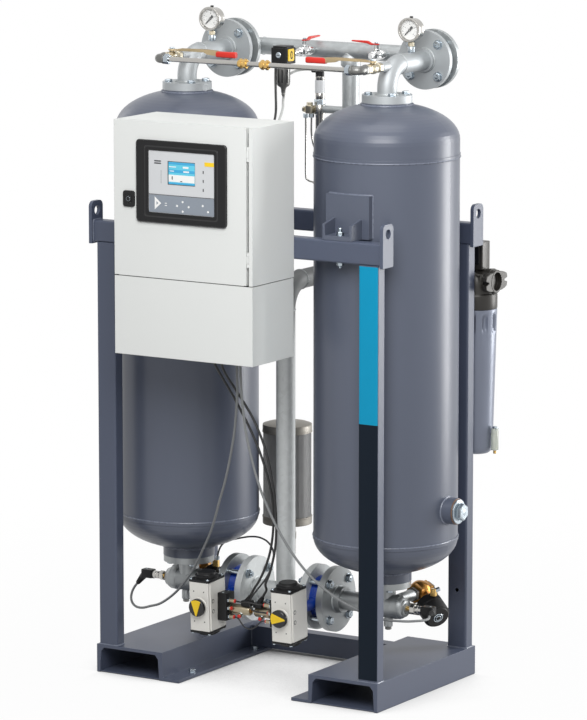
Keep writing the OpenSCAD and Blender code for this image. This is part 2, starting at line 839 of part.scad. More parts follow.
// Elbow fittings at both ends of the purge tube
module purge_fittings() {
    color("dimgray") both_sides() translate([tower_x, 0, line_z]) {
        translate([0, -purge_y, 0]) sphere(r = purge_fit_r);
        bar_y(purge_fit_r, -purge_y, -purge_boss_y - purge_valve_len - 8);
        hex_y(14.5, -purge_boss_y - purge_valve_len - 14, -purge_boss_y - purge_valve_len);
        translate([0, -purge_y, 0]) {
            bar_x(purge_fit_r, -22, 0);
            hex_x(14.5, -purge_end, -20);
        }
    }
}

// Brass ball valves of the purge line, stem upwards
module purge_valves() {
    color("goldenrod") both_sides() translate([tower_x, 0, line_z]) {
        hex_y(14, -purge_boss_y - purge_valve_len, -purge_boss_y - purge_valve_len + 18);
        bar_y(11, -purge_boss_y - purge_valve_len, -purge_boss_y);
        hex_y(14, -purge_boss_y - 16, -purge_boss_y);
        translate([0, -purge_stem_y, 0]) {
            sphere(r = 15);
            cylinder(r = 8, h = lever_low - fit);
            cylinder(r = 4, h = lever_low + 9);
        }
    }
}

// Lever of a purge valve, pointing along +X from its stem
module purge_lever(side) {
    translate([side * tower_x, -purge_stem_y, line_z + lever_low]) mirror([side > 0 ? 1 : 0, 0, 0]) difference() {
        union() {
            cylinder(r = lever_hub_r, h = 5);
            translate([0, -6, 0]) cube([lever_len - grip_len / 2, 12, 4]);
            translate([lever_len - grip_len, -8, -grip_drop]) cube([grip_len, 16, 12]);
        }
        translate([0, 0, -1]) cylinder(r = 4 + fit, h = 12);
        translate([32, 0, -1]) cylinder(r = 3.5, h = 12, $fn = 24);
    }
}

module left_purge_lever() { color("indianred") purge_lever(-1); }
module right_purge_lever() { color("indianred") purge_lever(1); }

// Gauge cases with dial, bezel and threaded stem
module gauge_case() {
    difference() {
        union() {
            bar_y(gauge_r, gauge_front + 4, gauge_front + gauge_depth);
            bar_y(gauge_r + 3, gauge_front, gauge_front + 9);
            translate([0, gauge_y, -gauge_r - 16]) cylinder(r = 9, h = 14, $fn = 6);
            translate([0, gauge_y, -gauge_r - 6]) cylinder(r = 6, h = 12);
            translate([0, gauge_y, gauge_r - 2]) cylinder(r = 4, h = 8);
        }
        bar_y(gauge_r - 4, gauge_front - 1, gauge_front + 10);
        bar_y(gauge_r - 1, gauge_front + 1.5, gauge_front + 5);
    }
    bar_y(2, gauge_front + 6, gauge_front + 12);
}

module gauge_places(side) {
    translate([side * tower_x, 0, gauge_z]) children();
}

module gauge_cases() {
    color("silver") {
        gauge_places(-1) gauge_case();
        gauge_places(1) gauge_case();
    }
}

// Flat windows held in the bezels
module gauge_windows() {
    color("lightcyan") both_sides() gauge_places(1) bar_y(gauge_r - 1.3, gauge_front + 1.8, gauge_front + 4.5);
}

// Pointer of a gauge at its zero stop
module gauge_pointer(side) {
    gauge_places(side) rotate([0, 225, 0]) difference() {
        union() {
            bar_y(4, gauge_front + 7, gauge_front + 8.6);
            translate([-1.2, gauge_front + 7, -10]) cube([2.4, 1.6, 32]);
        }
        bar_y(2 + fit, gauge_front, gauge_front + 12);
    }
}

module left_gauge_pointer() { color("black") gauge_pointer(-1); }
module right_gauge_pointer() { color("black") gauge_pointer(1); }

// Pilot air filter on the front of the left small valve
module pilot_filter() {
    color("dimgray") translate([pilot_x, filter_back - filter_d / 2, line_z]) {
        difference() {
            translate([-filter_w / 2, -filter_d / 2, -filter_h / 2]) cube([filter_w, filter_d, filter_h]);
            translate([0, 0, -filter_h / 2 - 1]) cylinder(r = 16 + fit, h = 13);
        }
        bar_y(8, -filter_d / 2 - 4, -filter_d / 2 + 2);
        translate([-12, -22, -filter_h / 2 - 8]) cylinder(r = 5, h = 9);
    }
}

module pilot_bowl() {
    color("gray") translate([pilot_x, filter_back - filter_d / 2, line_z - filter_h / 2]) {
        translate([0, 0, -5]) cylinder(r = 16, h = 15);
        translate([0, 0, -60]) cylinder(r = 15.5, h = 60 - fit);
        translate([0, 0, -82]) cylinder(r1 = 6, r2 = 15.5, h = 22);
        translate([0, 0, -92]) cylinder(r = 5, h = 12);
    }
}

// Small ball valves on the header
module mini_valve(front) {
    hex_y(13, mini_boss_y - 14, mini_boss_y);
    bar_y(10, mini_boss_y - mini_len, mini_boss_y);
    hex_y(13, mini_boss_y - mini_len, mini_boss_y - mini_len + 14);
    bar_y(7, front, mini_boss_y - mini_len);
    translate([0, mini_y, 0]) {
        sphere(r = 14);
        cylinder(r = 7, h = mini_lever_z - line_z - fit);
        cylinder(r = 3.5, h = mini_lever_z - line_z + 6);
    }
}

module pilot_valves() {
    color("silver") {
        translate([pilot_x, 0, line_z]) mini_valve(filter_back);
        translate([sample_x, 0, line_z]) mini_valve(mini_boss_y - mini_len - 8);
    }
}

// Lever of a small valve, pointing along +X before it is turned
module mini_lever(x, turn) {
    translate([x, mini_y, mini_lever_z]) rotate(turn) difference() {
        union() {
            cylinder(r = 8, h = 4);
            translate([0, -5, 0]) cube([80, 10, 3]);
        }
        translate([0, 0, -1]) cylinder(r = 3.5 + fit, h = 8);
    }
}

module pilot_lever() { color("red") mini_lever(pilot_x, 90); }
module sample_lever() { color("red") mini_lever(sample_x, 180); }

// Dew point sensor on its sample cell
module dew_point_sensor() {
    sleeve_z = sensor_block / 2 + sensor_nut_h - 2;
    cap_z = sleeve_z + sensor_sleeve_h - 1;
    color("silver") translate([sensor_x, header_y, sensor_z]) {
        cube(sensor_block, center = true);
        translate([0, 0, -sensor_body]) cylinder(r = sensor_cell_r, h = sensor_body - sensor_block / 2 + 1);
        translate([0, 0, sensor_block / 2 - 1]) cylinder(r = sensor_nut_r, h = sensor_nut_h, $fn = 6);
        translate([0, 0, sleeve_z]) cylinder(r = sensor_sleeve_r, h = sensor_sleeve_h);
        translate([0, 0, cap_z]) cylinder(r = sensor_cap_r, h = sensor_cap_h);
        translate([0, 0, cap_z + sensor_cap_h - sensor_lead_r]) bar_x(sensor_lead_r, -sensor_lead_len, 0);
    }
}

// Cabinet body: folded sheet box with a front lip, rear bracket and glands
module cabinet_body() {
    color("whitesmoke") {
        difference() {
            translate([box_x, body_front, box_low]) cube([box_w, -beam_face - body_front, box_h]);
            translate([box_x + sheet, body_front + sheet, box_low + sheet])
                cube([box_w - 2 * sheet, -beam_face - body_front - 2 * sheet, box_h - 2 * sheet]);
            translate([box_x + lip + sheet, body_front - 1, box_low + lip + sheet])
                cube([box_w - 2 * lip - 2 * sheet, sheet + 2, box_h - 2 * lip - 2 * sheet]);
        }
        translate([box_x + 12, -beam_face - sheet, cover_low + 4]) cube([box_w - 24, sheet, box_low - cover_low]);
        for (x = back_gland_x) translate([x, 0, back_gland_z]) bar_y(9, -beam_face - 1, -beam_face + 14);
        translate([box_right - rail_w, box_y, box_low]) cube([rail_w, sheet, box_h]);
        translate([box_right - rail_w, box_y, box_low]) cube([sheet, hinge_return, box_h]);
        translate([box_right - sheet, box_y, box_low]) cube([sheet, body_front - box_y + 1, box_h]);
        for (z = hinge_zs) body_knuckles(z);
    }
}

module body_knuckles(z) {
    for (z0 = [z - 20, z + 10]) {
        translate([hinge_x, hinge_y, z0]) cylinder(r = knuckle_r, h = 10, $fn = 24);
        translate([hinge_x + 1.5, hinge_y - 1, z0]) cube([hinge_side, 2, 10]);
    }
    translate([hinge_x, hinge_y, z - 15]) cylinder(r = pin_r, h = 30, $fn = 24);
}

// Door: folded tray on two knuckle hinges, with the cut-out for the controller
module cabinet_door() {
    unit_x = bezel_x + panel_inset + unit_gap;
    unit_z = bezel_z + panel_low + unit_gap;
    color("whitesmoke") {
        difference() {
            union() {
                translate([box_x, box_y, box_low]) cube([door_w, sheet, box_h]);
                translate([box_x, box_y, box_low]) cube([sheet, door_depth, box_h]);
                translate([box_x + door_w - sheet, box_y, box_low]) cube([sheet, hinge_return, box_h]);
                translate([box_x, box_y, box_low]) cube([door_w, hinge_return, sheet]);
                translate([box_x, box_y, box_top - sheet]) cube([door_w, hinge_return, sheet]);
                translate([latch_x, 0, latch_z]) front_plate(35, 42, 6, box_y - 5, box_y + 1);
            }
            translate([unit_x - fit, box_y - 1, unit_z - fit])
                cube([panel_w - 2 * unit_gap + 2 * fit, sheet + 2, panel_h - 2 * unit_gap + 2 * fit]);
            translate([latch_x, 0, latch_z]) bar_y(latch_r + fit, box_y - 6, box_y + sheet + 1);
        }
        for (z = hinge_zs) door_knuckle(z);
    }
}

module door_knuckle(z) {
    difference() {
        union() {
            translate([hinge_x, hinge_y, z - 9.6]) cylinder(r = knuckle_r, h = 19.2, $fn = 24);
            translate([hinge_x - hinge_side - 1, hinge_y - 1, z - 9.6]) cube([hinge_side, 2, 19.2]);
        }
        translate([hinge_x, hinge_y, z - 11]) cylinder(r = pin_r + 0.3, h = 22, $fn = 24);
    }
}

// Quarter-turn latch with its cam behind the door
module door_latch() {
    color("black") translate([latch_x, 0, latch_z]) {
        bar_y(latch_r, box_y - 7, box_y + sheet + fit);
        bar_y(latch_r + 3, box_y + sheet + fit, box_y + sheet + 4);
        bar_y(6, box_y + sheet, body_front + sheet + 6);
        translate([-9, body_front + sheet + 2, -9]) cube([18, 4, 52]);
    }
}

// Black frame around the display
module display_bezel() {
    color("black") translate([bezel_x + bezel_w / 2, box_y, bezel_z + bezel_h / 2])
        rotate([90, 0, 0]) linear_extrude(bezel_t) difference() {
            round_rect(bezel_w, bezel_h, 10);
            round_rect(panel_w, panel_h, 4);
        }
}

// Display panel with the controller housing behind the door
module display_panel() {
    px = bezel_x + bezel_w / 2;
    pz = bezel_z + bezel_h / 2;
    color("lightgray") difference() {
        union() {
            translate([px, 0, pz]) front_plate(panel_w - 2 * fit, panel_h - 2 * fit, 4, box_y - panel_t, box_y);
            translate([bezel_x + panel_inset + unit_gap, box_y - 1, bezel_z + panel_low + unit_gap])
                cube([panel_w - 2 * unit_gap, 56, panel_h - 2 * unit_gap]);
        }
        translate([px, box_y - panel_t, pz + 26]) cube([screen_w, 2, screen_h], center = true);
    }
}

// Lower cover: folded sheet with rear flanges and a recessed gland shelf
module lower_cover() {
    back = -beam_face - sheet;
    color("whitesmoke") {
        translate([box_x, box_y, cover_low]) cube([box_w, sheet, cover_h]);
        translate([box_x, box_y, cover_low]) cube([sheet, back - box_y, cover_h]);
        translate([box_right - sheet, box_y, cover_low]) cube([sheet, back - box_y, cover_h]);
        translate([box_x, back - sheet, cover_low]) cube([28, sheet, cover_h]);
        translate([box_right - 28, back - sheet, cover_low]) cube([28, sheet, cover_h]);
        translate([box_x, box_y, gland_z]) cube([box_w, back - box_y, sheet]);
        for (p = gland_places) translate([p[0], p[1], gland_z - 12]) cylinder(r = 9, h = 13);
    }
}

// Mounting plate on stand-offs inside the cabinet
module mounting_plate() {
    color("lightgray") {
        translate([box_x + 30, plate_y - sheet, box_low + 30]) cube([box_w - 60, sheet, box_h - 60]);
        for (x = [box_x + 45, box_right - 45], z = [box_low + 45, box_top - 45])
            translate([x, 0, z]) bar_y(5, plate_y - 0.5, -beam_face - sheet);
    }
}

// Power supply, terminal strip and relay block on the mounting plate
module control_modules() {
    y0 = plate_y - sheet;
    color("gray") {
        translate([box_x + module_side, y0 - supply_d, box_low + module_z]) cube([supply_w, supply_d, module_h]);
        translate([box_x + module_side + module_gap + supply_w, y0 - relay_d, box_low + module_z])
            cube([relay_w, relay_d, module_h]);
        translate([box_x + module_side, y0 - strip_d, box_low + strip_z]) difference() {
            cube([strip_len, strip_d, strip_h]);
            for (i = [0 : 23]) translate([slot_side + i * strip_len / 24.4, -1, slot_z])
                cube([slot_w, slot_d + 1, slot_h]);
        }
    }
}

// Tee under a tower, with its dead end and drain boss
module inlet_tee() {
    face = valve_x + valve_half;
    top = neck_low - tee_flange_t;
    difference() {
        union() {
            translate([0, 0, manifold_z]) {
                bar_x(flange_r, face, face + flange_t);
                bar_x(tee_r + 4, face + flange_t - 1, face + flange_t + 20);
                bar_x(inlet_r, face, tower_x);
                bar_x(tee_r, tower_x - 40, tee_end - 16);
                bar_x(tee_r - 8, tower_x, tee_end);
            }
            translate([tower_x, 0, manifold_z]) cylinder(r = inlet_r + 2, h = top - manifold_z);
            translate([tower_x, 0, top]) cylinder(r = foot_r - 1, h = tee_flange_t);
            translate([tower_x + 10, 0, manifold_z - tee_r - 25]) cylinder(r = 11, h = 40);
            translate([exhaust_x, 0, exhaust_z]) bar_y(exhaust_r, 0, exhaust_in);
        }
        translate([0, 0, manifold_z]) bar_x(bore_r, face - 1, tee_end - 12);
        translate([tower_x, 0, manifold_z]) cylinder(r = bore_r, h = neck_low - manifold_z + 1);
        translate([exhaust_x, 0, exhaust_z]) bar_y(exhaust_r - 6, 5, exhaust_in + 1);
        manifold_bolt_places() bar_x(7 + hole_gap, face - 1, face + flange_t + 1);
        for (a = [45 : 90 : 315]) translate([tower_x, 0, top - 1]) rotate(a) translate([neck_bolt_r, 0, 0])
            cylinder(r = 6 + hole_gap, h = tee_flange_t + 2);
        translate([0, 0, manifold_z]) bar_x(7 + fit, tee_end - 31, tee_end + 1);
    }
}

module inlet_tees() { color("silver") both_sides() inlet_tee(); }

// Inlet pipe: manifold, riser and the run back to the prefilter
module inlet_run(r) {
    reach = valve_x - valve_half;
    translate([0, 0, manifold_z]) bar_x(r, -reach, reach);
    translate([0, 0, manifold_z]) cylinder(r = r, h = inlet_z - inlet_bend - manifold_z);
    translate([0, inlet_bend, inlet_z - inlet_bend]) rotate([0, 90, 180]) rotate([0, 0, 90]) quarter_bend(inlet_bend, r);
    translate([0, 0, inlet_z]) bar_y(r, inlet_bend, filter_y - inlet_bend);
    translate([inlet_bend, filter_y - inlet_bend, inlet_z]) rotate(90) quarter_bend(inlet_bend, r);
    translate([0, filter_y, inlet_z]) bar_x(r, inlet_bend, prefilter_x - head_half);
}

module inlet_pipe() {
    inner = valve_x - valve_half - flange_t;
    color("silver") difference() {
        union() {
            inlet_run(inlet_r);
            both_sides() translate([0, 0, manifold_z]) bar_x(flange_r, inner, inner + flange_t);
            both_sides() translate([0, 0, manifold_z]) bar_x(inlet_r + 7, inner - 14, inner + 1);
        }
        inlet_run(bore_r);
        translate([0, 0, manifold_z]) bar_x(bore_r, -inner - flange_t - 1, inner + flange_t + 1);
        translate([0, filter_y, inlet_z]) bar_x(bore_r, 200, prefilter_x - head_half + 1);
        both_sides() manifold_bolt_places() bar_x(7 + hole_gap, inner - 1, inner + flange_t + 1);
    }
}

// Butterfly valve bodies with the neck that carries the actuator
module valve_place() {
    translate([valve_x, 0, manifold_z]) rotate([valve_tilt, 0, 0]) children();
}

module butterfly_body() {
    valve_place() difference() {
        union() {
            bar_x(valve_body_r, -valve_half, valve_half);
            bar_y(15, -act_back + 4, -valve_body_r + 6);
            translate([-24, -act_back, -24]) cube([48, 8, 48]);
            bar_y(11, valve_body_r - 6, valve_body_r + 10);
        }
        bar_x(valve_bore_r, -valve_half - 1, valve_half + 1);
        bar_y(shaft_r + fit, -act_back - 1, valve_body_r);
    }
}

module butterfly_bodies() { color("royalblue") both_sides() butterfly_body(); }

// Spindle with the valve disc at one end and the pointer knob at the other
module valve_spindle(side, turn) {
    translate([side * valve_x, 0, manifold_z]) rotate([valve_tilt, 0, 0]) rotate([0, turn, 0]) {
        bar_y(shaft_r, -act_y - 3, valve_body_r - 3);
        intersection() {
            bar_x(disc_r, -3, 3);
            bar_y(disc_r, -disc_r, disc_r);
        }
        bar_y(9, -disc_r + 2, disc_r - 2);
        bar_y(knob_r, -act_y - 14, -act_y - 3);
        translate([0, 1 - act_y - 14, 0]) rotate([90, 0, 0]) linear_extrude(3) polygon([[-14, 19], [14, 19], [0, -23]]);
    }
}

module left_valve_spindle() { color("black") valve_spindle(-1, 0); }
module right_valve_spindle() { color("black") valve_spindle(1, -90); }

// Rack and pinion actuators with their end caps
module actuator_bodies() {
    color("white") both_sides() valve_place() difference() {
        union() {
            translate([-act_w / 2 + 4, -act_y + 3, -act_h / 2]) cube([act_w - 8, act_d - 3, act_h]);
            translate([-act_w / 2, -act_y + 12, -act_h / 2]) cube([act_w, act_d - 24, act_h]);
            bar_y(26, -act_y, -act_y + 10);
        }
        bar_y(shaft_r + fit, -act_y - 1, -act_back + 1);
    }
}

module actuator_cap(dome) {
    linear_extrude(cap_plate) round_rect(act_w + 2, act_d - 6, 8);
    cylinder(r = cap_dome_r, h = cap_plate + dome);
}

module actuator_caps() {
    color("black") both_sides() valve_place() translate([0, -act_y + act_d / 2, 0]) {
        translate([0, 0, act_h / 2]) actuator_cap(cap_dome);
        mirror([0, 0, 1]) translate([0, 0, act_h / 2]) actuator_cap(foot_cap);
    }
}

// Pilot solenoids on the inner sides of the actuators, their cable glands leaning to the right
module pilot_solenoid(side) {
    inner = valve_x - act_w / 2;
    block_x = inner - solenoid_w;
    translate([0, 0, coil_top]) mirror([side < 0 ? 1 : 0, 0, 0]) {
        translate([block_x, solenoid_y, -solenoid_drop]) cube([solenoid_w, solenoid_d, solenoid_h]);
        translate([coil_x - coil_plug_w / 2, coil_y - coil_d / 2, -coil_drop])
            cube([block_x - coil_x + coil_plug_w / 2 + 1, coil_d, coil_h]);
        translate([coil_x - coil_plug_w / 2, coil_y - coil_plug_w / 2, -coil_plug_h])
            cube([coil_plug_w, coil_plug_w, coil_plug_h]);
    }
    translate([side * coil_x, coil_y, coil_top - 4]) along(coil_out) cylinder(r = coil_gland_r, h = coil_gland);
}

module pilot_solenoids() {
    color("black") {
        pilot_solenoid(-1);
        pilot_solenoid(1);
    }
}

// Pressure transducers in the dead ends of the tees
module pressure_transducer(side, out) {
    translate([0, 0, manifold_z]) mirror([side < 0 ? 1 : 0, 0, 0]) {
        bar_x(7, tee_end - 26, plug_start - 36);
        hex_x(14, plug_start - 38, plug_start - 24);
        bar_x(11, plug_start - 25, plug_start + 1);
        translate([plug_start, -13, -11]) cube([plug_len, 26, 24]);
    }
    translate([side * (plug_start + plug_len - 8), 0, manifold_z]) along(out) cylinder(r = 10, h = plug_tail);
}

module pressure_transducers() {
    color("silver") {
        pressure_transducer(-1, left_plug_out);
        pressure_transducer(1, right_plug_out);
    }
}

// Angle-seat exhaust valves: brass bodies and round actuators
module exhaust_valve(side, brace) {
    translate([side * exhaust_x, 0, exhaust_z]) {
        bar_y(exhaust_r + 6, exhaust_in, exhaust_out);
        hex_y(exhaust_r + 9, exhaust_in, exhaust_in + 16);
        hex_y(exhaust_r + 9, exhaust_out - 16, exhaust_out);
        translate([0, exhaust_mid, 0]) along(brace) cylinder(r = 17, h = bonnet_h);
    }
}

module along(d) {
    yaw = atan2(d[1], d[0]);
    pitch = acos(d[2] / norm(d));
    rotate([0, 0, yaw]) rotate([0, pitch, 0]) children();
}

module exhaust_valves() {
    color("peru") {
        exhaust_valve(-1, left_brace);
        exhaust_valve(1, right_brace);
    }
}

module exhaust_actuator(side, brace) {
    translate([side * exhaust_x, exhaust_mid, exhaust_z]) along(brace) {
        translate([0, 0, bonnet_h]) cylinder(r = 38, h = 62);
        translate([0, 0, bonnet_h + 61]) cylinder(r = 34, h = 6);
        translate([0, 0, bonnet_h + 66]) cylinder(r = 10, h = 6);
    }
}

module exhaust_actuators() {
    color("black") {
        exhaust_actuator(-1, left_brace);
        exhaust_actuator(1, right_brace);
    }
}

// Exhaust manifold and the silencer on its stem
module exhaust_run(r) {
    both_sides() translate([exhaust_x, exhaust_out, exhaust_z - exhaust_bend]) rotate([90, 0, 90])
        quarter_bend(exhaust_bend, r);
    both_sides() translate([exhaust_x - exhaust_bend, exhaust_y, exhaust_z - exhaust_bend]) rotate([90, 0, 0])
        rotate(270) quarter_bend(exhaust_bend, r);
    translate([0, exhaust_y, exhaust_low]) bar_x(r, -exhaust_x + exhaust_bend, exhaust_x - exhaust_bend);
    translate([silencer_x, exhaust_y, exhaust_low]) cylinder(r = r, h = silencer_low - exhaust_low - stem_h / 2);
}

module silencer_can() {
    difference() {
        union() {
            cylinder(r = silencer_r, h = silencer_h);
            cylinder(r = silencer_r + 4.5, h = 22);
            translate([0, 0, silencer_h - 22]) cylinder(r = silencer_r + 4.5, h = 22);
            translate([0, 0, -stem_h]) cylinder(r = stem_r, h = stem_h + 5);
            translate([0, 0, -stem_h / 2]) cylinder(r = stem_r + 5, h = 16, $fn = 6);
        }
        translate([0, 0, 10]) cylinder(r = silencer_r - 8, h = silencer_h - 20);
        translate([0, 0, -stem_h - 1]) cylinder(r = exhaust_r + weld_gap, h = stem_h / 2 + 2);
        translate([0, 0, -stem_h / 2]) cylinder(r = exhaust_r - 6, h = stem_h / 2 + 12);
    }
}

module silencer() {
    color("gray") {
        difference() {
            exhaust_run(exhaust_r);
            exhaust_run(exhaust_r - 6);
            translate([silencer_x, exhaust_y, exhaust_low]) cylinder(r = exhaust_r - 6, h = silencer_low - exhaust_low);
        }
        translate([silencer_x, exhaust_y, silencer_low]) silencer_can();
    }
}

// Prefilter behind the rear right post: cast head with port flange and indicator
module prefilter_head() {
    color("dimgray") translate([prefilter_x, filter_y, 0]) difference() {
        union() {
            translate([0, 0, head_low]) cylinder(r = bowl_r, h = head_top - head_low - 10);
            translate([-head_half, -filter_head_d / 2, inlet_z - filter_head_drop])
                cube([2 * head_half - 12, filter_head_d, filter_head_h]);
            translate([head_half - port_flange_t, 0, inlet_z]) rotate([90, 0, 90]) linear_extrude(port_flange_t) {
                round_rect(port_flange_w, port_flange_h, port_flange_r);
                circle(r = port_hub_r);
            }
            translate([-indicator_w / 2, -indicator_d / 2, head_top - indicator_sink])
                cube([indicator_w, indicator_d, indicator_h]);
            translate([-filter_foot_w / 2, -filter_y + beam_face, inlet_z - filter_foot_drop])
                cube([filter_foot_w, filter_foot_d, filter_foot_h]);
        }
        translate([0, 0, inlet_z]) bar_x(port_d / 2, 20, head_half + 1);
        translate([0, 0, inlet_z]) bar_x(bore_r, -head_half - 1, -20);
        translate([0, 0, head_low - 1]) cylinder(r = bowl_r - 14, h = 31);
        for (s = [-1, 1]) translate([0, s * 48, inlet_z]) bar_x(6, head_half - 20, head_half + 1);
    }
}

// Prefilter bowl with its float drain
module prefilter_bowl() {
    color("lightslategray") translate([prefilter_x, filter_y, 0]) {
        translate([0, 0, head_low]) cylinder(r = bowl_r - 14 - fit, h = 28);
        translate([0, 0, head_low - 60]) cylinder(r = bowl_r, h = 60);
        translate([0, 0, bowl_low + 20]) cylinder(r1 = bowl_r - 11, r2 = bowl_r - 2, h = bowl_h - 78);
        translate([0, 0, bowl_low]) cylinder(r1 = bowl_r - 24, r2 = bowl_r - 11, h = 21);
        translate([0, 0, bowl_low + 62]) bar_x(6, 30, bowl_r + 4);
        translate([bowl_r + 3, 0, bowl_low + 12]) cylinder(r = 11, h = 62);
    }
}

// Cords
module left_transducer_cable() { color("gray") swept_tube(left_transducer_route, cable_d); }
module right_transducer_cable() { color("gray") swept_tube(right_transducer_route, cable_d); }
module left_solenoid_cable() { color("black") swept_tube(left_solenoid_route, cable_d); }
module right_solenoid_cable() { color("black") swept_tube(right_solenoid_route, cable_d); }
module dew_point_cable() { color("gray") swept_tube(dew_point_route, cable_d); }
module pilot_hose() { color("black") swept_tube(pilot_hose_route, cable_d); }

left_skid();
right_skid();
cross_member();
corner_posts();
top_beams();
lifting_lugs();
left_tower();
right_tower();
desiccant_beds();
bed_screens();
fill_plugs();
outlet_elbows();
check_valves();
left_check_disc();
right_check_disc();
outlet_header();
flange_bolts();
purge_tube();
purge_fittings();
purge_valves();
left_purge_lever();
right_purge_lever();
gauge_cases();
gauge_windows();
left_gauge_pointer();
right_gauge_pointer();
pilot_filter();
pilot_bowl();
pilot_valves();
pilot_lever();
sample_lever();
dew_point_sensor();
cabinet_body();
cabinet_door();
door_latch();
display_bezel();
display_panel();
lower_cover();
mounting_plate();
control_modules();
inlet_tees();
inlet_pipe();
butterfly_bodies();
left_valve_spindle();
right_valve_spindle();
actuator_bodies();
actuator_caps();
pilot_solenoids();
pressure_transducers();
exhaust_valves();
exhaust_actuators();
silencer();
prefilter_head();
prefilter_bowl();
left_transducer_cable();
right_transducer_cable();
left_solenoid_cable();
right_solenoid_cable();
dew_point_cable();
pilot_hose();
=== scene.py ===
import math

import bmesh
import bpy
from mathutils import Matrix, Vector, geometry


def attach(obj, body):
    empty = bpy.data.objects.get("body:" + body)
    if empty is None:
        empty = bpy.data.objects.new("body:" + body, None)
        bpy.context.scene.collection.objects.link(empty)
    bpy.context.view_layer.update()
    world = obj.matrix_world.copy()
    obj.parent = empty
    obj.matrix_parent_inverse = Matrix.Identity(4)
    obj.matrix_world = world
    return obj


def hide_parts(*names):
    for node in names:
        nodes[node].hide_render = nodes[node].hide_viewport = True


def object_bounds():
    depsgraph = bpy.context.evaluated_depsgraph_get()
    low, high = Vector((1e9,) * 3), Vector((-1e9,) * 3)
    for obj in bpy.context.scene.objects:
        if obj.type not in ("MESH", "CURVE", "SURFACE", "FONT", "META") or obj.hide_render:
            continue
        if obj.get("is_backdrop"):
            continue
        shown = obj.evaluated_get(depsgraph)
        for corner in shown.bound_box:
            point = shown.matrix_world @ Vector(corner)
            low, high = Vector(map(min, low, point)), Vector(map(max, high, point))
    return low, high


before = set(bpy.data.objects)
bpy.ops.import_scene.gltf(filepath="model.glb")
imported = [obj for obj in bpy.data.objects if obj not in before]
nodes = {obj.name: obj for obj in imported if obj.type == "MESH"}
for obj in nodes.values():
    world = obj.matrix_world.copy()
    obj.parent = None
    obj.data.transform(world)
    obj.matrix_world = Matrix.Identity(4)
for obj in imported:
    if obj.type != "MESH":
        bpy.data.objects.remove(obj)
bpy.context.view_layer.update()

# Places that the solids fix, in millimetres; meshes are scaled to metres when they are finished
MM = 0.001
ORIGIN = Vector((0, 0, 0))
X, Y, Z = Vector((1, 0, 0)), Vector((0, 1, 0)), Vector((0, 0, 1))
SIDES = {"left": -1, "right": 1}
CORNERS = [math.radians(a) for a in (45, 135, 225, 315)]
POST_X, POST_Y, POST_W, POST_D, POST_ROUND = 425, 245, 60, 40, 6
SKID_H, FRAME_H, BEAM_LOW, BEAM_X, BEAM_FACE = 80, 1285, 1225, 465, 265
BEAM_H = FRAME_H - BEAM_LOW
CROSS_END, CROSS_EDGES = 239.5, (198, 238)
ANCHOR_X, ANCHOR_Y, FOOT_T = 208, 166, 8
SKID_X, SKID_W, SKID_L = 350, 220, 540
TOWER_X, TOWER_R, HEAD_H, SHELL_LOW, SHELL_TOP = 325, 200, 100, 428, 1535
PAD_HALF, PAD_TOP, BOSS_R, PLUG_Z = 68, FRAME_H + 118, 38, 522
NECK_R, FOOT_R, NECK_LOW, NECK_TOP, NECK_BOLT_R = 69, 73, 306, 1635, 53
LINE_Z, FLANGE_Y, PIPE_Y, HEADER_Y, CHECK_BOLT_R = 1733, 200, 258, 315, 62.5
OUTLET_X, OUTLET_BEND_Z = 20, 1212
PURGE_Y, PURGE_STEM_Y, PURGE_END, PURGE_UNIONS = -150, -75, 285, (-43, 27)
GAUGE_Z, GAUGE_FRONT, GAUGE_STEM, GAUGE_START, GAUGE_SWEEP = 1822, 112, 18, 225, 270
PILOT_X, SAMPLE_X, MINI_BOSS_Y, MINI_Y, MINI_LEVER_Z, FILTER_BACK = -86, 150, 271, 239, 1763, 151
SENSOR = (-82, 315, 1563)
BOX_X, BOX_RIGHT, BOX_Y, BOX_LOW, COVER_LOW = -252, 191, -475, 1176, 959
LATCH = (-202, BOX_Y, 1387)
MANIFOLD_Z, VALVE_X, VALVE_TILT, MANIFOLD_BOLT_R, TEE_DRAIN_X = 232, 134, 3, 72.5, 335
COIL_X, COIL_Y, COIL_PLUG_X = 71, -170, 20
EXHAUST_X, EXHAUST_Z, EXHAUST_IN, EXHAUST_OUT = 370, 254, 82, 150
EXHAUST_MID = (EXHAUST_IN + EXHAUST_OUT) / 2
SILENCER = (-110, 185, 387)
PREFILTER_X, PREFILTER_Y, INLET_Z, INLET_BEND = 426, 326, 1112, 76
INLET_BEAD_R, HEADER_BEAD_R = 27.2, 24.2


# Camera at the photograph's angle
camera_data = bpy.data.cameras.new("camera")
camera_data.sensor_width = 36.0
camera_data.lens = 221.1
camera = bpy.data.objects.new("camera", camera_data)
camera.location = (6.4265, -10.3272, 2.9414)
camera.rotation_euler = (math.radians(80.444), 0.0, math.radians(31.792))
bpy.context.scene.collection.objects.link(camera)
bpy.context.scene.camera = camera
bpy.context.scene.view_settings.view_transform = "Standard"


# Node tree helpers
def srgb(r, g, b):
    def linear(v):
        v = v / 255.0
        return v / 12.92 if v <= 0.04045 else ((v + 0.055) / 1.055) ** 2.4
    return (linear(r), linear(g), linear(b), 1.0)


def shade(color, factor):
    return tuple(min(c * factor, 1.0) for c in color[:3]) + (1.0,)


def feed(tree, sockets, *values):
    # Each socket takes a link or a plain value
    for socket, value in zip(sockets, values):
        if isinstance(value, bpy.types.NodeSocket):
            tree.links.new(value, socket)
        else:
            socket.default_value = value


def node(tree, kind, **values):
    made = tree.nodes.new("ShaderNode" + kind)
    for key, value in values.items():
        if hasattr(made, key):
            setattr(made, key, value)
        else:
            feed(tree, [made.inputs[key.replace("_", " ")]], value)
    return made


def combine(tree, operation, *values):
    made = node(tree, "Math", operation=operation)
    feed(tree, made.inputs, *values)
    return made.outputs[0]


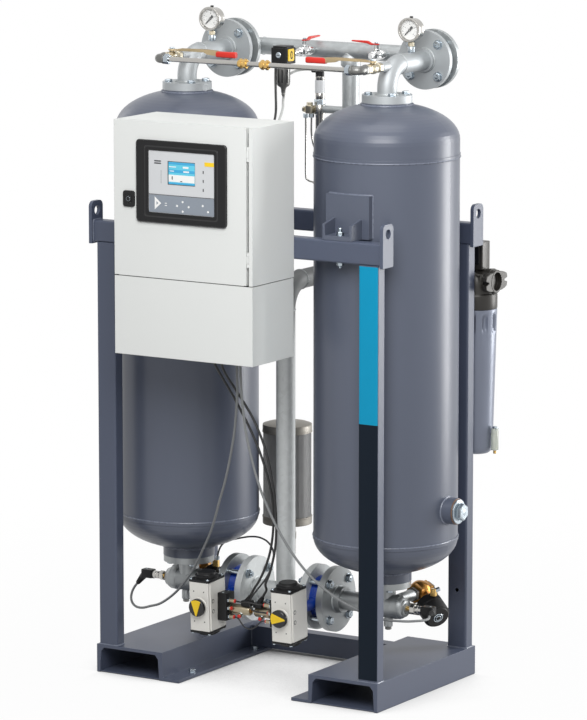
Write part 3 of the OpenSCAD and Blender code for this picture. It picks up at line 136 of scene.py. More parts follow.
def ramp(tree, value, low, high, first=0.0, last=1.0):
    made = node(tree, "MapRange", Value=value, From_Min=low, From_Max=high, To_Min=first, To_Max=last)
    return made.outputs[0]


def mix_color(tree, share, first, second):
    made = node(tree, "Mix", data_type="RGBA")
    feed(tree, (made.inputs[0], made.inputs[6], made.inputs[7]), share, first, second)
    return made.outputs[2]


def mix_shader(tree, share, first, second):
    made = node(tree, "MixShader")
    feed(tree, made.inputs, share, first.outputs[0], second.outputs[0])
    return made.outputs[0]


def seen_white(tree):
    # 1 for rays that should see a plain white studio
    path = node(tree, "LightPath").outputs
    straight = combine(tree, "MAXIMUM", path["Is Camera Ray"], path["Is Glossy Ray"])
    return combine(tree, "MAXIMUM", straight, path["Is Transmission Ray"])


# Studio: white world, pale floor, soft lamps
WHITE = (1, 1, 1, 1)
AMBIENT = 0.28
FLOOR_GREY = (0.5, 0.5, 0.5, 1)
FLOOR_REACH = 30.0
world = bpy.data.worlds.new("studio")
bpy.context.scene.world = world
world.use_nodes = True
tree = world.node_tree
tree.nodes.clear()
dim = node(tree, "Background", Color=WHITE, Strength=AMBIENT)
bright = node(tree, "Background", Color=WHITE, Strength=1.0)
node(tree, "OutputWorld", Surface=mix_shader(tree, seen_white(tree), dim, bright))


def floor_material():
    made = bpy.data.materials.new("pale_floor")
    made.use_nodes = True
    tree = made.node_tree
    tree.nodes.clear()
    lit = node(tree, "BsdfDiffuse", Color=FLOOR_GREY)
    glow = node(tree, "Emission", Strength=1.0)
    # The glow is less near the object, and goes in the contact shadow under it
    place = node(tree, "NewGeometry").outputs["Position"]
    away = node(tree, "VectorMath", operation="LENGTH", Vector=place).outputs["Value"]
    near = ramp(tree, away, 0.8, 2.4, 0.97)
    under = node(tree, "AmbientOcclusion", samples=8, Distance=0.4).outputs["AO"]
    both = combine(tree, "MULTIPLY", near, ramp(tree, under, 0.2, 0.7))
    share = combine(tree, "MULTIPLY", seen_white(tree), both)
    node(tree, "OutputMaterial", Surface=mix_shader(tree, share, lit, glow))
    return made


floor_mesh = bpy.data.meshes.new("floor")
spots = [(u * FLOOR_REACH, v * FLOOR_REACH, -MM) for u, v in ((-1, -1), (1, -1), (1, 1), (-1, 1))]
floor_mesh.from_pydata(spots, [], [(0, 1, 2, 3)])
floor_mesh.materials.append(floor_material())
floor = bpy.data.objects.new("floor", floor_mesh)
bpy.context.scene.collection.objects.link(floor)
floor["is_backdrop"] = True


def lamp(name, at, target, size, power):
    data = bpy.data.lights.new(name, "AREA")
    data.shape = "RECTANGLE"
    data.size = size[0]
    data.size_y = size[1]
    data.energy = power
    made = bpy.data.objects.new(name, data)
    made.location = at
    made.rotation_euler = (Vector(target) - Vector(at)).to_track_quat("-Z", "Y").to_euler()
    bpy.context.scene.collection.objects.link(made)


lamp("key_front", (1.6, -3.0, 3.4), (0, 0, 1.3), (2.4, 2.4), 146)
lamp("rim_right", (3.05, 3.2, 1.2), (0, 0, 0.9), (1.3, 3.2), 172)
lamp("rim_left", (-3.6, 1.2, 1.8), (0, 0, 1.0), (0.7, 3.0), 12)
lamp("top", (0.2, -0.4, 5.0), (0, 0, 0.8), (2.6, 2.0), 40)


# Procedural finishes: drifting tone, uneven gloss, fine grain, softened and worn edges, and painted shade by
# height
def finish(name, rgb, rough, metal=0.0, mottle=0.06, scale=7.0, uneven=0.05, grain=350.0, bump=0.05,
           edge=1.2, stretch=(1, 1, 1), spangle=0.0, wear=0.0, painted_shade=None, **sockets):
    made = bpy.data.materials.new(name)
    made.use_nodes = True
    tree = made.node_tree
    color = srgb(*rgb)
    where = node(tree, "TexCoord").outputs["Object"]
    mapped = node(tree, "Mapping", Vector=where, Scale=stretch).outputs[0]
    # Colour drifts between a darker and a lighter tone, and from crystal to crystal on spangled zinc
    factor = node(tree, "TexNoise", Vector=mapped, Scale=scale, Detail=5.0).outputs["Fac"]
    if spangle > 0:
        cells = node(tree, "TexVoronoi", Vector=where, Scale=spangle).outputs["Color"]
        grey = node(tree, "RGBToBW", Color=cells).outputs[0]
        factor = combine(tree, "MULTIPLY_ADD", grey, 0.55, combine(tree, "MULTIPLY", factor, 0.6))
    base = mix_color(tree, factor, shade(color, 1 - mottle), shade(color, 1 + mottle))
    # Gloss varies a little over the surface
    gloss = ramp(tree, factor, 0.0, 1.0, max(rough - uneven, 0.02), min(rough + uneven, 1.0))
    # Fine grain over softened edges
    skin = node(tree, "TexNoise", Vector=mapped, Scale=grain, Detail=3.0).outputs["Fac"]
    relief = node(tree, "Bump", Strength=bump, Distance=0.0006, Height=skin)
    if edge > 0:
        soft = node(tree, "Bevel", samples=4, Radius=edge * MM).outputs[0]
        feed(tree, [relief.inputs["Normal"]], soft)
    if wear > 0:
        # Edges, where the softened normal leaves the flat one, are rubbed lighter
        along = node(tree, "VectorMath", operation="DOT_PRODUCT")
        feed(tree, along.inputs, node(tree, "NewGeometry").outputs["True Normal"], soft)
        rub = ramp(tree, along.outputs["Value"], 1.0, 0.8, 0.0, wear)
        base = mix_color(tree, rub, base, shade(color, 2.2))
    if painted_shade:
        # Painted shade: the tone darkens from one height to another
        low, high, share = painted_shade
        height = node(tree, "SeparateXYZ", Vector=where).outputs["Z"]
        base = mix_color(tree, ramp(tree, height, low * MM, high * MM), base, shade(color, share))
    shader = tree.nodes["Principled BSDF"].inputs
    parts = [shader[key] for key in ("Base Color", "Metallic", "Roughness", "Normal")]
    feed(tree, parts, base, metal, gloss, relief.outputs[0])
    for key, value in sockets.items():
        shader[key.replace("_", " ")].default_value = value
    return made


# Order of the numbers: colour, roughness, metal, mottle, its scale, uneven gloss, grain, bump, edge
frame_paint = finish("frame_paint", (77, 84, 102), 0.40, 0, 0.05, 3, 0.05, 260, 0.05, 2.0, wear=0.25,
                     Specular_IOR_Level=0.42)
# The frame's paint on the towers, its colour made lighter as painted light for their brighter curved faces;
# its gloss differs from the frame's
vessel_paint = finish("vessel_paint", (86, 92, 107), 0.34, 0, 0.05, 2.5, 0.05, 230, 0.06, 1.5)
cabinet_paint = finish("cabinet_paint", (224, 226, 224), 0.52, 0, 0.012, 3, 0.05, 900, 0.05, 2.0,
                       Specular_IOR_Level=0.3)
galvanised = finish("galvanised", (170, 174, 175), 0.42, 0.7, 0.16, 9, 0.12, 240, 0.10, 1.0, spangle=85)
elbow_zinc = finish("elbow_zinc", (172, 176, 178), 0.56, 0.7, 0.12, 12, 0.10, 320, 0.14, 1.2)
tee_zinc = finish("tee_zinc", (152, 155, 156), 0.44, 0.85, 0.14, 16, 0.10, 320, 0.18, 1.2)
# The inlet pipe's zinc, with painted shade darkening its top run where the cabinet and tower shade it
pipe_zinc = finish("pipe_zinc", (190, 193, 193), 0.6, 0.5, 0.16, 9, 0.12, 240, 0.10, 1.0, spangle=85,
                   painted_shade=(INLET_Z - 160, INLET_Z - 60, 0.4))
zinc = finish("zinc", (172, 181, 188), 0.26, 1, 0.05, 40, 0.08, 900, 0.04, 0.6)
stainless = finish("stainless", (182, 180, 176), 0.22, 1, 0.05, 14, 0.07, 500, 0.05, 0.6, (0.1, 1, 1))
dull_steel = finish("dull_steel", (118, 118, 116), 0.40, 0.9, 0.12, 30, 0.1, 500, 0.08, 0.8)
brass = finish("brass", (205, 170, 105), 0.27, 1, 0.10, 35, 0.09, 600, 0.05, 0.6)
bronze = finish("bronze", (176, 128, 66), 0.34, 1, 0.16, 30, 0.1, 420, 0.14, 0.9)
yellow_zinc = finish("yellow_zinc", (196, 176, 140), 0.34, 0.9, 0.12, 22, 0.1, 500, 0.05, 0.5)
nickel = finish("nickel", (188, 180, 160), 0.30, 1, 0.10, 30, 0.08, 500, 0.05, 0.6)
red_grip = finish("red_grip", (206, 44, 32), 0.42, 0, 0.06, 30, 0.06, 700, 0.06, 1.5, wear=0.15)
chrome = finish("chrome", (215, 216, 216), 0.10, 1, 0.03, 30, 0.05, 600, 0.02, 0.6)
black_plastic = finish("black_plastic", (24, 24, 25), 0.45, 0, 0.10, 20, 0.06, 1400, 0.10, 0.9,
                       Specular_IOR_Level=0.25)
gloss_black = finish("gloss_black", (20, 20, 22), 0.22, 0, 0.08, 20, 0.05, 500, 0.03, 0.9)
blue_epoxy = finish("blue_epoxy", (12, 52, 140), 0.28, 0, 0.10, 14, 0.06, 240, 0.10, 1.2)
white_coat = finish("white_coat", (226, 224, 218), 0.38, 0.15, 0.02, 12, 0.05, 800, 0.05, 0.9)
dark_cast = finish("dark_cast", (50, 48, 45), 0.38, 0.4, 0.10, 20, 0.08, 420, 0.16, 1.4)
bowl_paint = finish("bowl_paint", (122, 128, 143), 0.34, 0.2, 0.06, 8, 0.06, 420, 0.08, 1.4)
grey_plastic = finish("grey_plastic", (206, 208, 210), 0.45, 0, 0.03, 12, 0.05, 900, 0.06, 0.8)
key_grey = finish("key_grey", (136, 144, 154), 0.42, 0, 0.03, 12, 0.05, 900, 0.04, 0.4)
screen_blue = finish("screen_blue", (96, 200, 226), 0.2, 0, 0.05, 60, 0.03, 900, 0.01, 0)
screen_deep = finish("screen_deep", (60, 166, 214), 0.2, 0, 0.05, 60, 0.03, 900, 0.01, 0)
mark_white = finish("mark_white", (240, 240, 238), 0.4, 0, 0.02, 30, 0.04, 900, 0.02, 0)
mark_dark = finish("mark_dark", (60, 62, 66), 0.45, 0, 0.06, 30, 0.04, 900, 0.02, 0)
signal_yellow = finish("signal_yellow", (244, 204, 32), 0.4, 0, 0.04, 30, 0.05, 900, 0.04, 0.6)
label_cyan = finish("label_cyan", (0, 142, 182), 0.4, 0, 0.03, 14, 0.05, 600, 0.03, 0.4,
                    Specular_IOR_Level=0.25)
label_dark = finish("label_dark", (15, 25, 36), 0.5, 0, 0.05, 14, 0.05, 600, 0.03, 0.4,
                    Specular_IOR_Level=0.12)
cream = finish("cream", (158, 148, 126), 0.30, 0.9, 0.10, 24, 0.08, 500, 0.08, 0.7)
grey_cable = finish("grey_cable", (128, 130, 131), 0.5, 0, 0.05, 30, 0.06, 900, 0.06, 0)
white_cable = finish("white_cable", (186, 188, 186), 0.45, 0, 0.03, 30, 0.05, 900, 0.04, 0)
black_cable = finish("black_cable", (24, 24, 25), 0.45, 0, 0.08, 30, 0.06, 900, 0.06, 0)
seal_brown = finish("seal_brown", (118, 92, 76), 0.5, 0.2, 0.10, 60, 0.06, 500, 0.08, 0.5)
# Weld beads in the paint they are coated with, painted lighter as a painted highlight for the glints along
# them; the lower roughness is real gloss
weld_paint_painted_highlight = finish("weld_paint_painted_highlight", (112, 118, 133), 0.28, 0, 0.12, 90, 0.08, 420, 0.12, 0)
beads = finish("beads", (225, 220, 205), 0.7, 0, 0.08, 240, 0.05, 320, 0.5, 0)
pleats = finish("pleats", (163, 163, 163), 0.46, 0.5, 0.10, 20, 0.1, 400, 0.10, 0.6)
silencer_cap = finish("silencer_cap", (146, 142, 134), 0.5, 0.6, 0.08, 20, 0.1, 400, 0.12, 1.0)
clear = finish("clear", (251.6, 253.9, 255), 0.04, 0, 0.01, 20, 0.02, 200, 0.005, 0, Alpha=0.06, IOR=1.46)
milky = finish("milky", (222, 226, 214), 0.25, 0, 0.05, 30, 0.06, 300, 0.05, 0, Transmission_Weight=0.45,
               IOR=1.45)

NODE_FINISH = (
    (frame_paint, "left_skid right_skid cross_member corner_posts top_beams lifting_lugs"),
    (vessel_paint, "left_tower right_tower"),
    (cabinet_paint, "cabinet_body cabinet_door lower_cover"),
    (galvanised, "check_valves outlet_header"),
    (elbow_zinc, "outlet_elbows"),
    (tee_zinc, "inlet_tees"),
    (pipe_zinc, "inlet_pipe"),
    (zinc, "fill_plugs flange_bolts mounting_plate"),
    (stainless, "bed_screens left_check_disc right_check_disc purge_tube gauge_cases dew_point_sensor"),
    (stainless, "pressure_transducers"),
    (dull_steel, "purge_fittings pilot_bowl"),
    (nickel, "purge_valves"),
    (red_grip, "left_purge_lever right_purge_lever pilot_lever sample_lever"),
    (clear, "gauge_windows"),
    (gloss_black, "left_gauge_pointer right_gauge_pointer left_valve_spindle right_valve_spindle"),
    (black_plastic, "pilot_filter door_latch display_bezel actuator_caps pilot_solenoids exhaust_actuators"),
    (chrome, "pilot_valves"),
    (grey_plastic, "display_panel control_modules"),
    (blue_epoxy, "butterfly_bodies"),
    (white_coat, "actuator_bodies"),
    (bronze, "exhaust_valves"),
    (silencer_cap, "silencer"),
    (dark_cast, "prefilter_head"),
    (bowl_paint, "prefilter_bowl"),
    (beads, "desiccant_beds"),
    (grey_cable, "left_transducer_cable right_transducer_cable dew_point_cable"),
    (black_cable, "left_solenoid_cable right_solenoid_cable pilot_hose"),
)
for material, names in NODE_FINISH:
    for name in names.split():
        nodes[name].data.materials.clear()
        nodes[name].data.materials.append(material)

# Cords, each on the route that its solid follows, in metres
left_transducer = [
    (-0.5028, 0, 0.1984), (-0.5119, 0, 0.1878), (-0.519, -0.003, 0.172), (-0.519, -0.008, 0.155),
    (-0.51, -0.014, 0.142), (-0.491, -0.022, 0.135), (-0.464, -0.03, 0.137), (-0.433, -0.038, 0.147),
    (-0.393, -0.052, 0.161), (-0.353, -0.066, 0.184), (-0.312, -0.082, 0.214), (-0.277, -0.098, 0.246),
    (-0.243, -0.114, 0.281), (-0.211, -0.13, 0.321), (-0.181, -0.146, 0.363), (-0.148, -0.164, 0.411),
    (-0.118, -0.184, 0.463), (-0.09, -0.204, 0.518), (-0.061, -0.224, 0.572), (-0.035, -0.244, 0.626),
    (-0.012, -0.262, 0.682), (0.009, -0.28, 0.74), (0.025, -0.296, 0.8), (0.036, -0.308, 0.855),
    (0.041, -0.317, 0.904), (0.042, -0.32, 0.94), (0.042, -0.32, 0.973),
]
right_transducer = [
    (0.072, -0.35, 0.973), (0.072, -0.35, 0.94), (0.073, -0.349, 0.903), (0.074, -0.346, 0.853),
    (0.077, -0.34, 0.795), (0.08, -0.333, 0.745), (0.089, -0.325, 0.688), (0.1, -0.318, 0.636),
    (0.113, -0.311, 0.588), (0.13, -0.304, 0.542), (0.149, -0.297, 0.498), (0.172, -0.289, 0.454),
    (0.199, -0.279, 0.41), (0.228, -0.266, 0.369), (0.259, -0.25, 0.333), (0.291, -0.231, 0.302),
    (0.322, -0.211, 0.277), (0.351, -0.19, 0.257), (0.379, -0.168, 0.24), (0.412, -0.148, 0.23),
    (0.442, -0.131, 0.227), (0.466, -0.117, 0.226), (0.484, -0.1, 0.226), (0.4945, -0.08, 0.225),
    (0.4971, -0.0593, 0.2254), (0.4899, -0.0408, 0.2275),
]
left_solenoid = [
    (-0.03, -0.325, 0.973), (-0.03, -0.325, 0.951), (-0.028, -0.321, 0.926), (-0.021, -0.313, 0.905),
    (-0.011, -0.301, 0.878), (0.008, -0.284, 0.834), (0.025, -0.273, 0.795), (0.043, -0.268, 0.76),
    (0.063, -0.266, 0.722), (0.082, -0.265, 0.681), (0.098, -0.264, 0.64), (0.109, -0.261, 0.599),
    (0.115, -0.256, 0.56), (0.115, -0.25, 0.52), (0.109, -0.24, 0.475), (0.097, -0.228, 0.428),
    (0.079, -0.215, 0.382), (0.056, -0.202, 0.34), (0.032, -0.19, 0.304), (0.0095, -0.1808, 0.2775),
    (-0.0001, -0.1773, 0.2633), (-0.0078, -0.1745, 0.252),
]
right_solenoid = [
    (0, -0.335, 0.973), (0, -0.335, 0.951), (0.001, -0.33, 0.924), (0.005, -0.314, 0.896),
    (0.019, -0.295, 0.86), (0.038, -0.281, 0.822), (0.064, -0.277, 0.782), (0.085, -0.276, 0.743),
    (0.104, -0.276, 0.7), (0.118, -0.276, 0.653), (0.127, -0.273, 0.603), (0.132, -0.269, 0.556),
    (0.132, -0.263, 0.507), (0.125, -0.251, 0.457), (0.113, -0.238, 0.41), (0.095, -0.223, 0.367),
    (0.075, -0.208, 0.328), (0.055, -0.195, 0.298), (0.0495, -0.1815, 0.2775), (0.0399, -0.1773, 0.2633),
    (0.0322, -0.1745, 0.252),
]
dew_point = [
    (-0.108, 0.315, 1.673), (-0.124, 0.315, 1.673), (-0.139, 0.309, 1.672), (-0.149, 0.296, 1.669),
    (-0.152, 0.276, 1.665), (-0.146, 0.248, 1.659), (-0.133, 0.216, 1.648), (-0.118, 0.186, 1.633),
    (-0.103, 0.156, 1.617), (-0.087, 0.126, 1.602), (-0.069, 0.096, 1.588), (-0.057, 0.068, 1.573),
    (-0.048, 0.04, 1.556), (-0.041, 0.01, 1.536), (-0.034, -0.02, 1.518), (-0.029, -0.06, 1.5),
    (-0.025, -0.105, 1.482), (-0.022, -0.15, 1.468), (-0.02, -0.195, 1.458), (-0.02, -0.225, 1.455),
    (-0.02, -0.251, 1.455),
]
pilot_hose = [
    (-0.098, 0.104, 1.7), (-0.098, 0.104, 1.684), (-0.097, 0.102, 1.664), (-0.094, 0.098, 1.64),
    (-0.091, 0.094, 1.618), (-0.086, 0.087, 1.596), (-0.08, 0.076, 1.574), (-0.075, 0.06, 1.552),
    (-0.071, 0.038, 1.532), (-0.07, 0.012, 1.514), (-0.07, -0.018, 1.499), (-0.07, -0.05, 1.486),
    (-0.07, -0.085, 1.475), (-0.07, -0.125, 1.465), (-0.07, -0.168, 1.458), (-0.07, -0.21, 1.455),
    (-0.07, -0.251, 1.455),
]
CABLE_D = 0.007


def cord(name, route, diameter, material, node_name=None):
    data = bpy.data.curves.new(name, "CURVE")
    data.dimensions = "3D"
    data.bevel_depth = diameter / 2
    data.bevel_resolution = 5
    data.resolution_u = 8
    data.use_fill_caps = True
    points = [Vector(p) for p in route]
    spline = data.splines.new("BEZIER")
    spline.bezier_points.add(len(points) - 1)
    for i, knot in enumerate(spline.bezier_points):
        lean = (points[min(i + 1, len(points) - 1)] - points[max(i - 1, 0)]) / 6
        knot.handle_left_type = "FREE"
        knot.handle_right_type = "FREE"
        knot.co = points[i]
        knot.handle_left = points[i] - lean
        knot.handle_right = points[i] + lean
    for a, b in zip(spline.bezier_points, spline.bezier_points[1:]):
        line = geometry.interpolate_bezier(a.co, a.handle_right, b.handle_left, b.co, 9)
    data.materials.append(material)
    made = bpy.data.objects.new(name, data)
    bpy.context.scene.collection.objects.link(made)
    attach(made, "frame")
    if node_name:
        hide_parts(node_name)
    return made


cord("left_transducer_lead", left_transducer, CABLE_D, grey_cable, "left_transducer_cable")
cord("right_transducer_lead", right_transducer, CABLE_D, grey_cable, "right_transducer_cable")
cord("left_solenoid_lead", left_solenoid, CABLE_D, black_cable, "left_solenoid_cable")
cord("right_solenoid_lead", right_solenoid, CABLE_D, black_cable, "right_solenoid_cable")
cord("dew_point_lead", dew_point, CABLE_D, white_cable, "dew_point_cable")
cord("pilot_air_hose", pilot_hose, CABLE_D, black_cable, "pilot_hose")

# Thin tubes between the push-in fittings of the two pilot valves
TUBE_D = 0.004
upper_tube = [
    (-0.047, -0.190, 0.236), (-0.042, -0.190, 0.236), (-0.036, -0.191, 0.236), (-0.030, -0.193, 0.236),
    (-0.024, -0.195, 0.237), (-0.018, -0.197, 0.238), (-0.012, -0.199, 0.239), (-0.006, -0.200, 0.240),
    (0.0, -0.2005, 0.2405), (0.006, -0.200, 0.240), (0.012, -0.199, 0.239), (0.018, -0.197, 0.238),
    (0.024, -0.195, 0.237), (0.030, -0.193, 0.236), (0.036, -0.191, 0.236), (0.042, -0.190, 0.236),
    (0.047, -0.190, 0.236),
]
lower_tube = [
    (-0.051, -0.188, 0.190), (-0.047, -0.188, 0.190), (-0.042, -0.189, 0.1892), (-0.037, -0.190, 0.187),
    (-0.032, -0.191, 0.183), (-0.0275, -0.192, 0.178), (-0.022, -0.193, 0.1725), (-0.015, -0.194, 0.1675),
    (-0.0075, -0.1945, 0.1645), (0.0, -0.195, 0.1635), (0.0075, -0.1945, 0.1645), (0.015, -0.194, 0.1675),
    (0.022, -0.193, 0.1725), (0.0275, -0.192, 0.178), (0.032, -0.191, 0.183), (0.037, -0.190, 0.187),
    (0.042, -0.189, 0.1892), (0.047, -0.188, 0.190), (0.051, -0.188, 0.190),
]
cord("pilot_valve_upper_tube", upper_tube, TUBE_D, black_cable)
cord("pilot_valve_lower_tube", lower_tube, TUBE_D, black_cable)

# Control tube from the left exhaust drive to the right pilot valve
CONTROL_D = 0.005
control_tube = [
    (-0.2906, 0.0976, 0.2844), (-0.289, 0.0986, 0.2945), (-0.2855, 0.099, 0.305), (-0.279, 0.098, 0.3155),
    (-0.27, 0.0955, 0.324), (-0.258, 0.0915, 0.3315), (-0.24, 0.0855, 0.339), (-0.216, 0.078, 0.3465),
    (-0.19, 0.067, 0.3545), (-0.1576, 0.05, 0.364), (-0.126, 0.03, 0.3715), (-0.101, 0.013, 0.376),
    (-0.076, -0.0055, 0.3785), (-0.05, -0.025, 0.3785), (-0.027, -0.044, 0.3755), (-0.007, -0.062, 0.3695),
    (0.011, -0.083, 0.36), (0.0235, -0.104, 0.348), (0.031, -0.124, 0.333), (0.0335, -0.142, 0.317),
    (0.031, -0.158, 0.301), (0.025, -0.172, 0.286), (0.0175, -0.182, 0.2725), (0.0095, -0.1875, 0.2595),
    (0.0032, -0.19, 0.2485), (0.0, -0.1908, 0.2385), (0.0007, -0.1908, 0.2295), (0.0055, -0.1908, 0.2212),
    (0.0132, -0.1908, 0.216), (0.0225, -0.1905, 0.214), (0.032, -0.1902, 0.2138), (0.041, -0.19, 0.214),
    (0.05, -0.19, 0.214), (0.058, -0.19, 0.214),
]
cord("exhaust_control_tube", control_tube, CONTROL_D, black_cable)


# Shape helpers: outlines are counter-clockwise, and a local frame has its z along the given direction
def vec(x, y, z):
    return Vector((x, y, z))


def basis(d):
    z = Vector(d).normalized()
    x = X.copy() if abs(z.z) > 0.999 else Z.cross(z).normalized()
    return x, z.cross(x), z


def circle(r, steps=40, start=0.0):
    angles = [start + math.tau * i / steps for i in range(steps)]
    return [(r * math.cos(a), r * math.sin(a)) for a in angles]


def arc(r, first, last, step=14):
    angles = [math.radians(a) for a in range(first, last, step)]
    return [(r * math.cos(a), r * math.sin(a)) for a in angles]


def rounded(w, h, r, steps=5):
    made = []
    for cx, cy, first in ((w / 2 - r, r - h / 2, -90), (w / 2 - r, h / 2 - r, 0),
                          (r - w / 2, h / 2 - r, 90), (r - w / 2, r - h / 2, 180)):
        for k in range(steps + 1):
            a = math.radians(first + 90 * k / steps)
            made.append((cx + r * math.cos(a), cy + r * math.sin(a)))
    return made


def inset(outline, depth):
    made = []
    for i, p in enumerate(outline):
        a = (Vector(p) - Vector(outline[i - 1])).normalized()
        b = (Vector(outline[(i + 1) % len(outline)]) - Vector(p)).normalized()
        lean = Vector((-a.y - b.y, a.x + b.x)) / max(1 + a.dot(b), 0.3)
        made.append(tuple(Vector(p) + lean * depth))
    return made


def reach_of(outline, angle):
    # Distance from the middle of an outline to its edge at an angle
    ray = Vector((math.cos(angle), math.sin(angle))) * 1000
    best = 0.0
    for i, p in enumerate(outline):
        hit = geometry.intersect_line_line_2d(Vector((0, 0)), ray, Vector(outline[i - 1]), Vector(p))
        if hit is not None:
            best = max(best, hit.length)
    return best


def smooth(points, steps=6):
    # Points along a curve through the given ones
    p = [Vector(q) for q in points]
    p = [2 * p[0] - p[1]] + p + [2 * p[-1] - p[-2]]
    made = []
    for i in range(1, len(p) - 2):
        for k in range(steps):
            t = k / steps
            made.append(0.5 * (2 * p[i] + (p[i + 1] - p[i - 1]) * t
                               + (2 * p[i - 1] - 5 * p[i] + 4 * p[i + 1] - p[i + 2]) * t * t
                               + (3 * p[i] - p[i - 1] - 3 * p[i + 1] + p[i + 2]) * t ** 3))
    return made + [p[-2]]


def spaced(points, step, loop=False):
    # The same line with points at an even distance
    p = [Vector(q) for q in points]
    if loop:
        p.append(p[0])
    total = sum((b - a).length for a, b in zip(p, p[1:]))
    count = max(int(total / step), 4)
    made = []
    i, done = 0, 0.0
    for k in range(count + (0 if loop else 1)):
        goal = total * k / count
        while i < len(p) - 2 and done + (p[i + 1] - p[i]).length < goal:
            done += (p[i + 1] - p[i]).length
            i += 1
        span = max((p[i + 1] - p[i]).length, 1e-6)
        made.append(p[i].lerp(p[i + 1], min((goal - done) / span, 1.0)))
    return made


# One piece, gathered in millimetres and made into a mesh that rides its body
class Part:
    def __init__(self, name, material, placing=None):
        self.name = name
        self.placing = placing or Matrix()
        self.points = []
        self.faces = []
        self.kinds = []
        self.materials = []
        self.use(material)

    def use(self, material):
        if material not in self.materials:
            self.materials.append(material)
        self.kind = self.materials.index(material)
        return self

    def move(self, x, y, z):
        # What is added next is measured from this point
        self.placing = Matrix.Translation((x, y, z))
        return self

    def loft(self, rings, loop=False):
        first = len(self.points)
        n = len(rings[0])
        for ring in rings:
            self.points += [self.placing @ Vector(p) for p in ring]
        made = []
        for i in range(len(rings) if loop else len(rings) - 1):
            a = first + i * n
            b = first + (i + 1) % len(rings) * n
            made += [(a + k, a + (k + 1) % n, b + (k + 1) % n, b + k) for k in range(n)]
        if not loop:
            last = first + (len(rings) - 1) * n
            made.append(tuple(reversed(range(first, first + n))))
            made.append(tuple(range(last, last + n)))
        self.faces += made
        self.kinds += [self.kind] * len(made)
        return self

    def turn(self, profile, d=Z, steps=40, at=ORIGIN, loop=False):
        # Profile of radius and height, turned about the direction
        x, y, z = basis(d)
        at = Vector(at)
        rings = [[at + z * h + x * u + y * v for u, v in circle(max(r, 0.02), steps)] for r, h in profile]
        return self.loft(rings, loop)

    def prism(self, outline, at, d, depth, chamfer=0.6):
        x, y, z = basis(d)
        at = Vector(at)
        edge = min(chamfer, depth * 0.45)
        small = inset(outline, edge)
        levels = [(small, 0), (outline, edge), (outline, depth - edge), (small, depth)]
        return self.loft([[at + z * h + x * u + y * v for u, v in shape] for shape, h in levels])

    def hexagon(self, r, start, depth, d=Z, chamfer=1.0, at=ORIGIN):
        foot = Vector(at) + Vector(d).normalized() * start
        return self.prism(circle(r, 6, math.pi / 6), foot, d, depth, chamfer)

    def block(self, low, high, r=2.0):
        low, high = Vector(low), Vector(high)
        middle = (low + high) / 2
        shape = rounded(high.x - low.x, high.y - low.y, r, 3)
        return self.prism(shape, (middle.x, middle.y, low.z), Z, high.z - low.z, min(r, 1.2))

    def ring_plate(self, outer, hole_r, at, d, depth, steps=72, chamfer=0.6):
        # Plate with a round hole; its outline is taken by angle
        x, y, z = basis(d)
        at = Vector(at)
        angles = [math.tau * i / steps for i in range(steps)]
        wide = [reach_of(outer, a) for a in angles]
        rows = [(0, wide, -chamfer), (chamfer, wide, 0), (depth - chamfer, wide, 0), (depth, wide, -chamfer),
                (depth, None, 0), (0, None, 0)]
        rings = []
        for h, row, less in rows:
            ring = []
            for i, a in enumerate(angles):
                r = row[i] + less if row else hole_r
                ring.append(at + z * h + x * (r * math.cos(a)) + y * (r * math.sin(a)))
            rings.append(ring)
        return self.loft(rings, loop=True)

    def sweep(self, path, r, steps=12, loop=False):
        p = [Vector(q) for q in path]
        radii = r if isinstance(r, list) else [r] * len(p)
        n = len(p)
        rings = []
        side = None
        for i in range(n):
            before = p[i - 1] if (loop or i > 0) else p[i]
            after = p[(i + 1) % n] if (loop or i < n - 1) else p[i]
            t = (after - before).normalized()
            side = basis(t)[0] if side is None else (side - t * side.dot(t)).normalized()
            up = t.cross(side)
            rings.append([p[i] + side * u + up * v for u, v in circle(radii[i], steps)])
        return self.loft(rings, loop)

    def weld(self, path, r=2.4, loop=False):
        # Rippled bead along a line
        line = spaced(path, 2.4, loop)
        return self.sweep(line, [r * (1.0 if k % 2 else 0.8) for k in range(len(line))], 8, loop)

    def ring_weld(self, r, at, d=Z, bead=2.4):
        x, y, _ = basis(d)
        at = Vector(at)
        return self.weld([at + x * u + y * v for u, v in circle(r, 72)], bead, True)

    def done(self, slot, body="frame", replaces=()):
        mesh = bpy.data.meshes.new(self.name)
        mesh.from_pydata([p * MM for p in self.points], [], self.faces)
        for material in self.materials:
            mesh.materials.append(material)
        mesh.polygons.foreach_set("material_index", self.kinds)
        work = bmesh.new()
        work.from_mesh(mesh)
        bmesh.ops.recalc_face_normals(work, faces=work.faces)
        work.to_mesh(mesh)
        work.free()
        mesh.shade_smooth()
        mesh.set_sharp_from_angle(angle=math.radians(36))
        made = bpy.data.objects.new(self.name, mesh)
        bpy.context.scene.collection.objects.link(made)
        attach(made, body)
        if replaces:
            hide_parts(*replaces)
        return made


# Frame: weld beads at the post feet, beam ends and cross member
welds = Part("frame_welds", weld_paint_painted_highlight)
for sx in (-1, 1):
    for sy in (-1, 1):
        foot = vec(sx * POST_X, sy * POST_Y, SKID_H)
        outline = rounded(POST_W + 1, POST_D + 1, POST_ROUND)
        welds.weld([foot + vec(u, v, 0) for u, v in outline], 2.6, True)
        for edge in (-1, 1):
            start = vec(sx * POST_X + edge * POST_W / 2, sy * POST_Y, BEAM_LOW)
            welds.weld([start - Y * 15, start + Y * 15], 2.6)
        end = vec(sx * BEAM_X, sy * POST_Y, FRAME_H - BEAM_H / 2)
        outline = rounded(POST_D + 1, BEAM_H + 1, POST_ROUND)
        welds.weld([end + vec(0, u, v) for u, v in outline], 2.4, True)
    for y in CROSS_EDGES:
        welds.weld([(sx * CROSS_END, y, 10), (sx * CROSS_END, y, 66)], 2.4)
welds.done("frame_paint")

